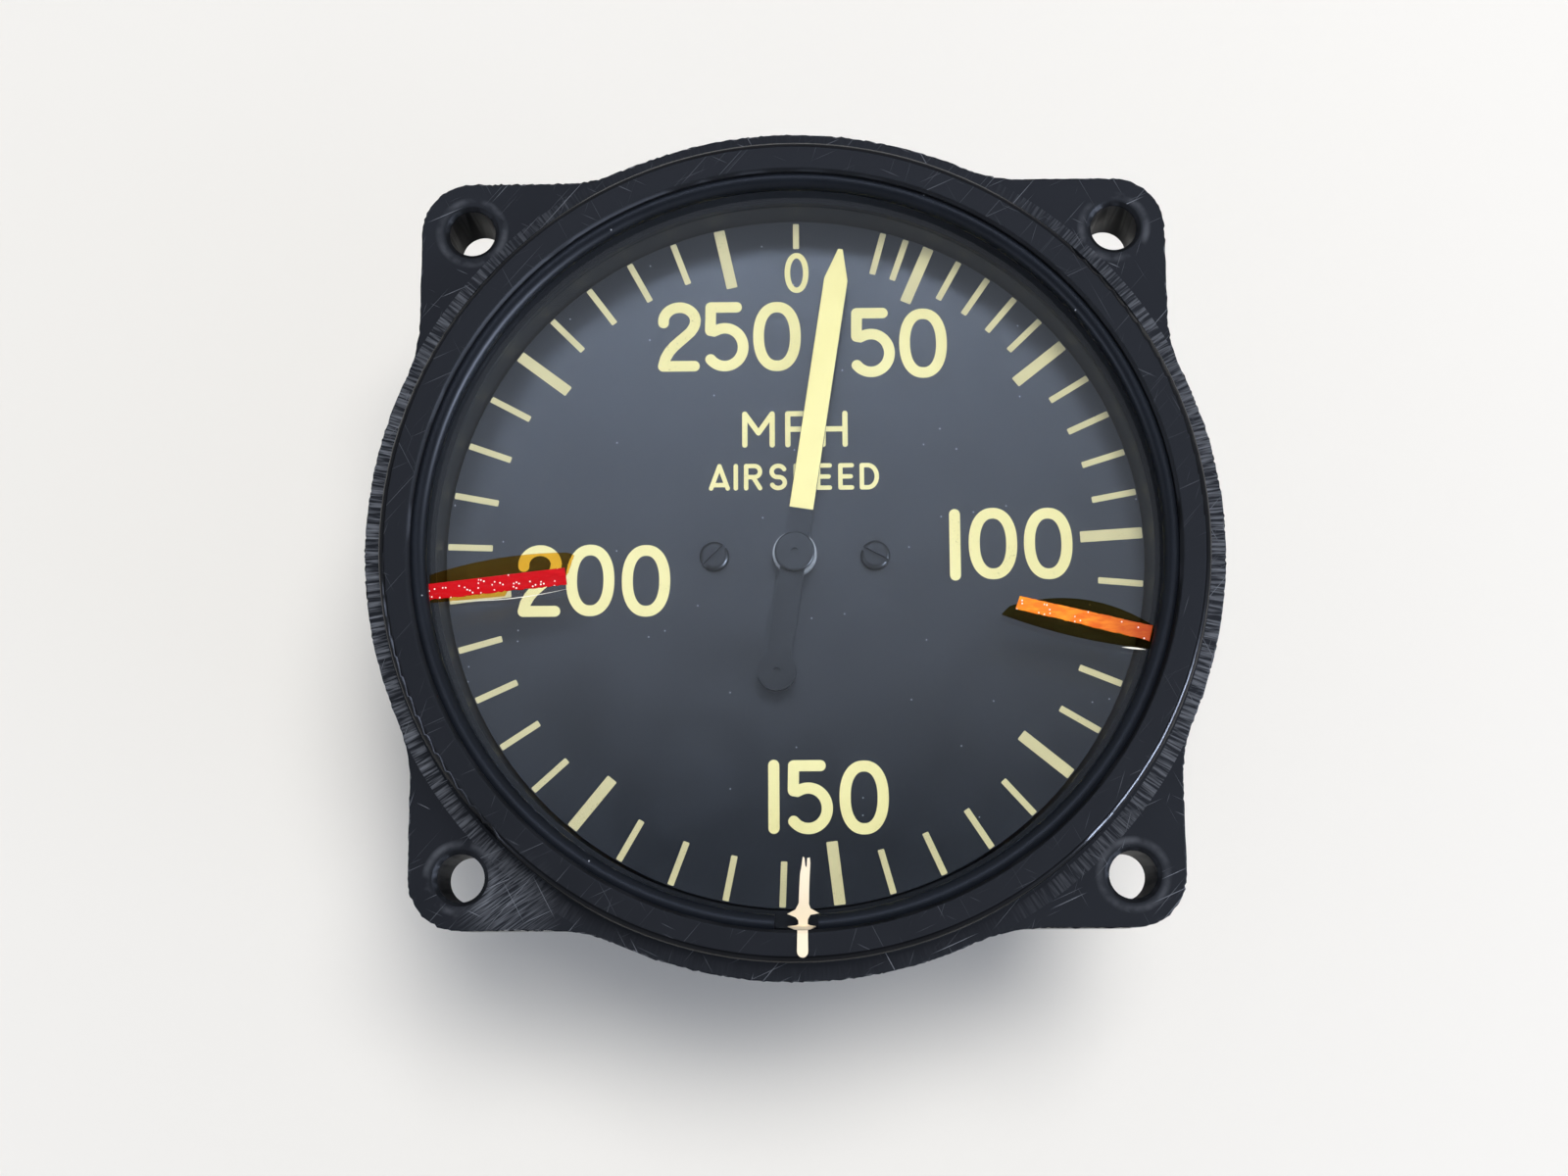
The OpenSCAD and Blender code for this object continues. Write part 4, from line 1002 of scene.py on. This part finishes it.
# Brushed enamel: strong colour, wavy gloss, white specks of painted glint.
RED_ENAMEL = strip_enamel("enamel_red_brushed", "#AE0007", "#BE020A", "#C60A12", (-22, -34), 0.11)
ORANGE_ENAMEL = strip_enamel("enamel_orange_brushed", "#F07202", "#9C3001", "#FFA21E", (24, 34), 0.06)
print("made two enamels")

# %% [markdown]
# ## Strips on the glass
#
# The strips were brushed between two pieces of tape, so the upper edge is straight and the lower one
# ran a little. Each is drawn as an outline, filled as a flat curve with a small bevel, because wet
# paint rounds its own rim. The random wobble starts from a fixed seed, so that every run paints the
# same edge.

# %% Painted strips
GLASS_TOP = 0.3
HAIR_GAP = 0.01
STRIP_COAT, STRIP_RIM = 0.12, 0.05
shake = random.Random(7)


def rough_line(start, end, amount, step=0.3):
    (x0, y0), (x1, y1) = start, end
    count = max(2, int(math.hypot(x1 - x0, y1 - y0) / step))
    return [(x0 + (x1 - x0) * i / count, y0 + (y1 - y0) * i / count + shake.uniform(-amount, amount))
            for i in range(count + 1)]


def on_glass(outline, thickness, rim):
    film = flat_sheet([outline], thickness, rim)
    film.location.z = (GLASS_TOP + HAIR_GAP + thickness / 2) * MM
    # A wide window blurs the shadow of so thin a film on the dial until none is left.
    film.visible_shadow = False
    return film


red_outline = [(-34.9, -3.57), (-21.92, -2.08)] + rough_line((-21.67, -3.7), (-34.8, -5.12), 0.07)
orange_outline = (rough_line((21.4, -5.15), (33.9, -8.08), 0.03)
                  + rough_line((33.55, -9.55), (20.95, -6.35), 0.05))
for name, outline, enamel in (("limit_mark", red_outline, RED_ENAMEL),
                              ("caution_mark", orange_outline, ORANGE_ENAMEL)):
    finish_piece(on_glass(outline, STRIP_COAT, STRIP_RIM), name, "housing", enamel)

# %% [markdown]
# ## Amber lacquer over the strips
#
# The strips were sealed with shellac, which has gone amber and crept out from under the brush. It
# turns the cream figures gold and the dial olive, as a filter does. Each film is two long arcs. A ray
# crosses the top and the underside of the film, so each face takes the square root of the full tint.

# %% Lacquer films
FILM_COAT, FILM_RIM = 0.05, 0.02


def lacquer(name, tint):
    material, tree = start_material(name)
    filtered = node(tree, "BsdfTransparent", {"Color": [math.sqrt(c) for c in tint] + [1.0]})
    shine = node(tree, "BsdfPrincipled", {"Base Color": linear("#2A1B06"), "Roughness": 0.08})
    edge_on = node(tree, "LayerWeight", {"Blend": 0.12})
    film = node(tree, "MixShader", {0: edge_on.outputs["Fresnel"], 1: filtered, 2: shine})
    node(tree, "OutputMaterial", {"Surface": film})
    return material


def bulge(start, end, sag, steps=24):
    (x0, y0), (x1, y1) = start, end
    length = math.hypot(x1 - x0, y1 - y0)
    side = (-(y1 - y0) / length, (x1 - x0) / length)
    points = []
    for i in range(steps + 1):
        t = i / steps
        out = 4 * sag * t * (1 - t)
        points.append((x0 + (x1 - x0) * t + side[0] * out, y0 + (y1 - y0) * t + side[1] * out))
    return points


# Brushed shellac: a clear amber filter with a thin gloss, and a thick coat of it that is nearly brown.
SHELLAC = lacquer("shellac_amber_brushed", (0.84, 0.5, 0.09))
DARK_SHELLAC = lacquer("shellac_dark_brushed_thick", (0.4, 0.29, 0.07))
red_film = (bulge((-34.85, -2.7), (-21.6, -0.62), 0.55) + rough_line((-21.0, -0.8), (-21.7, -2.9), 0.12, 0.2)
            + [(-27.2, -4.05), (-27.6, -4.8), (-34.7, -5.4)])
orange_film = bulge((19.6, -6.9), (33.9, -10.35), -0.5) + bulge((34.0, -8.1), (20.4, -6.1), -1.6)
for name, outline, finish in (("limit_mark_lacquer", red_film, SHELLAC),
                              ("caution_mark_lacquer", orange_film, DARK_SHELLAC)):
    finish_piece(on_glass(outline, FILM_COAT, FILM_RIM), name, "housing", finish)

# %% Painted glints on the rims of the films
THREAD_COAT = 0.09

# The thick lower rim of each film gathers the light into a white thread; that thread is a painted highlight,
# a pale piece of its own.
PAINTED_RIM_GLINT = luminous("shellac_rim_painted_glint", "#FBF6EA", "#EFE6D2", 0.0)
red_rim_glint = bulge((-21.6, -4.12), (-32.9, -5.2), 0.42) + bulge((-32.9, -5.2), (-21.6, -4.12), -0.36)
orange_rim_glint = bulge((30.9, -10.12), (33.2, -10.38), -0.06) + bulge((33.2, -10.38), (30.9, -10.12), -0.1)
for name, outline in (("limit_mark_painted_glint", red_rim_glint), ("caution_mark_painted_glint", orange_rim_glint)):
    finish_piece(on_glass(outline, THREAD_COAT, 0.0), name, "housing", PAINTED_RIM_GLINT)

# %% [markdown]
# ## The slippage mark
#
# A stroke of cream paint runs from the glass across the seam onto the ring. If the glass ever turns,
# the two halves part. The brush left two hairs at the start, and the paint crept sideways along the
# seams. We draw the stroke flat, cut it where the ground bends, and let a Shrinkwrap modifier drop it
# onto glass and case. Solidify then gives it the body of paint.

# %% Slippage mark
RIGHT_EDGE = [(0.98, -30.6), (1.03, -29.75), (1.28, -29.7), (1.33, -30.2), (1.26, -31.3), (1.2, -32.6),
              (1.17, -34.0), (1.32, -34.4), (2.13, -34.85), (1.3, -35.0), (1.07, -35.4), (1.05, -35.85),
              (1.28, -35.95), (1.8, -36.1), (1.06, -36.5), (1.08, -38.3)]
ROUND_END = arc(0.565, -38.35, 0.515, 0.55, 0, -180, 10)[1:-1]
LEFT_EDGE = [(0.05, -38.3), (0.1, -36.5), (-0.82, -36.1), (-0.05, -35.95), (0.18, -35.85), (0.17, -35.5),
             (-0.1, -35.2), (-0.87, -34.9), (-0.1, -34.5), (0.22, -33.9), (0.28, -32.5), (0.36, -31.2),
             (0.5, -30.5), (0.62, -29.62), (0.78, -29.72), (0.86, -30.5)]
BENDS = [-34.0, -35.0, -36.12, -36.45, -36.75, -38.2]
DROP_FROM = 6
SLIP_COAT = 0.07

slip = flat_sheet([RIGHT_EDGE + ROUND_END + LEFT_EDGE], 0.0)
slip.location.z = DROP_FROM * MM
set_in_place(slip)
faces_down = slip.data.polygons[0].normal.z < 0
start_edit(slip)
if faces_down:
    bpy.ops.mesh.flip_normals()
for bend in BENDS:
    bpy.ops.mesh.select_all(action="SELECT")
    bpy.ops.mesh.bisect(plane_co=(0, bend * MM, 0), plane_no=(0, 1, 0))
end_edit()
use_modifier(slip, "SHRINKWRAP", wrap_method="PROJECT", use_project_z=True, use_negative_direction=True,
             use_positive_direction=False, target=frame["nodes"]["case"],
             auxiliary_target=frame["nodes"]["glass"], offset=HAIR_GAP * MM)
use_modifier(slip, "SOLIDIFY", thickness=SLIP_COAT * MM, offset=1.0)
clean_mesh(slip)
# Brushed oil paint: opaque warm cream, hardly crumbled.
CREAM_PAINT = luminous("cream_paint_brushed", "#EADABE", "#DFCDAE", 0.1)
finish_piece(slip, "slippage_mark", "housing", CREAM_PAINT)

# %% [markdown]
# ## The floor
#
# The instrument lies on its back on a plain pale floor. A wide plane under it is enough, because the
# light does the rest. It belongs to the stage, so it isn't counted as a part of the object.

# %% Floor
FLOOR_SIDE = 3

floor_z = cad_box[0].z
deselect()
bpy.ops.mesh.primitive_plane_add(size=FLOOR_SIDE, location=(0, 0, floor_z))
floor = bpy.context.object
floor.name = "floor"
# Pale uncoated paper: no gloss, only soft shadows.
floor_paper, tree = start_material("floor_paper_pale")
end_material(tree, {"Base Color": linear("#DEDAD3"), "Roughness": 0.9})
floor.data.materials.append(floor_paper)
print("floor at", round(floor_z / MM, 2), "mm")

# %% [markdown]
# ## A soft dome
#
# A dome gives the general light. It is dark straight overhead, where a camera would stand, and pale
# towards the horizon. A pale patch up the picture lays a veil on the upper glass, while the lower
# glass stays black. The patch is drawn with slopes: how far a direction leans up the picture and
# sideways, measured from straight up.

# %% Soft dome
VEIL = 0.46
HORIZON, OVERHEAD = 0.92, 0.01
# Angles from straight up, in degrees, where the dark ends and where the full paleness starts.
DARK_TO, PALE_FROM = 25, 55

world = bpy.data.worlds.new("soft_dome")
bpy.context.scene.world = world
world.use_nodes = True
tree = world.node_tree
tree.nodes.clear()
way = node(tree, "TexCoord").outputs["Generated"]
split = node(tree, "SeparateXYZ", {"Vector": way})
up = node(tree, "Math", {0: split.outputs["Z"], 1: 0.05}, operation="MAXIMUM")
lean = node(tree, "Math", {0: split.outputs["Y"], 1: up}, operation="DIVIDE")
side = node(tree, "Math", {0: split.outputs["X"], 1: up}, operation="DIVIDE")
aside = node(tree, "Math", {0: side}, operation="ABSOLUTE")
veil = node(tree, "MapRange", {
    "Value": lean, "From Min": 0.04, "From Max": 0.13}, interpolation_type="SMOOTHSTEP")
for slope, start, end in ((lean, 0.42, 0.6), (aside, 0.22, 0.4)):
    fall = node(tree, "MapRange", {
        "Value": slope, "From Min": start, "From Max": end, "To Min": 1.0, "To Max": 0.0})
    veil = node(tree, "Math", {0: veil, 1: fall}, operation="MULTIPLY")
overhead = node(tree, "MapRange", {
    "Value": split.outputs["Z"], "From Min": math.cos(math.radians(PALE_FROM)),
    "From Max": math.cos(math.radians(DARK_TO)), "To Min": HORIZON, "To Max": OVERHEAD},
    interpolation_type="SMOOTHSTEP")
level = node(tree, "Math", {0: veil, 1: VEIL, 2: overhead}, operation="MULTIPLY_ADD")
sky = node(tree, "Background", {"Color": linear("#E9F0FC"), "Strength": level})
node(tree, "OutputWorld", {"Surface": sky})
print("dome ready")

# %% [markdown]
# ## Lamps
#
# The key lamp lights colours and casts the soft shadow. Two window lamps up the picture give the
# paint its sheen, which fades towards the bottom of the dial, and two side lamps draw the thin glints
# on the rounded rim. A lamp that only the gloss sees doesn't lighten black paint, so it can be as
# strong as the sheen needs. The rim would shade the upper dial from a small window, but a wide one
# reaches over it, so the second window casts no shadow.

# %% Lamps
LAMPS = [
    # name, place, width and height in metres, and power in watts
    ("lamp_key", (0.13, 0.15, 0.94), 0.34, 0.3, 8.9),
    ("lamp_window", (0.14, 0.42, 0.88), 0.3, 0.14, 2.6),
    ("lamp_window_fill", (-0.16, 0.43, 0.88), 0.4, 0.14, 4.2),
    ("glint_left", (-0.64, -0.27, 0.3), 0.34, 0.16, 3.0),
    ("glint_right", (0.65, -0.26, 0.3), 0.34, 0.16, 26.0),
]


def soft_lamp(name, place, width, height, power):
    light = bpy.data.lights.new(name, "AREA")
    light.shape = "RECTANGLE"
    light.size, light.size_y, light.energy = width, height, power
    lamp = bpy.data.objects.new(name, light)
    bpy.context.collection.objects.link(lamp)
    lamp.location = place
    lamp.rotation_euler = (-Vector(place)).to_track_quat("-Z", "Y").to_euler()
    lamp.visible_transmission = False
    return lamp


key, window, window_fill, glint_left, glint_right = [soft_lamp(*lamp) for lamp in LAMPS]
key.visible_glossy = False
window_fill.data.use_shadow = False
# The cover glass would mirror the other four as hard white panes from other sides, so they don't light it.
past_glass = bpy.data.collections.new("not_lit_by_windows")
past_glass.objects.link(frame["nodes"]["glass"])
past_glass.collection_objects[0].light_linking.link_state = "EXCLUDE"
for lamp in (window, window_fill, glint_left, glint_right):
    lamp.visible_diffuse = False
    lamp.light_linking.receiver_collection = past_glass
    lamp.data.color = linear("#D3E1FF")[:3]
print("hung", len(LAMPS), "lamps")

# %% [markdown]
# ## The camera
#
# The camera stands a little below the middle of the dial and looks slightly up the picture. Its place,
# turn and lens were fitted to the four lug holes and to the marks on the dial.

# %% Camera
CAMERA_AT = (0.00188, -0.038978, 0.20852)
CAMERA_TURN = (9.4774, 0.8405, -0.2922)
LENS, SENSOR = 50.931, 36

camera_data = bpy.data.cameras.new("camera")
camera = bpy.data.objects.new("camera", camera_data)
bpy.context.collection.objects.link(camera)
camera.location = CAMERA_AT
camera.rotation_euler = [math.radians(angle) for angle in CAMERA_TURN]
camera_data.sensor_width = SENSOR
camera_data.lens = LENS
camera_data.clip_start = 0.01
bpy.context.scene.camera = camera
bpy.context.scene.view_settings.view_transform = "Standard"
print("camera ready")

# %% [markdown]
# ## Measure and hand over
# Paint and print may stand only a hair proud of the solids. We write the imported box and the dressed
# box side by side, so that a change of size can't slip through.

# %% End
print("scene finished")
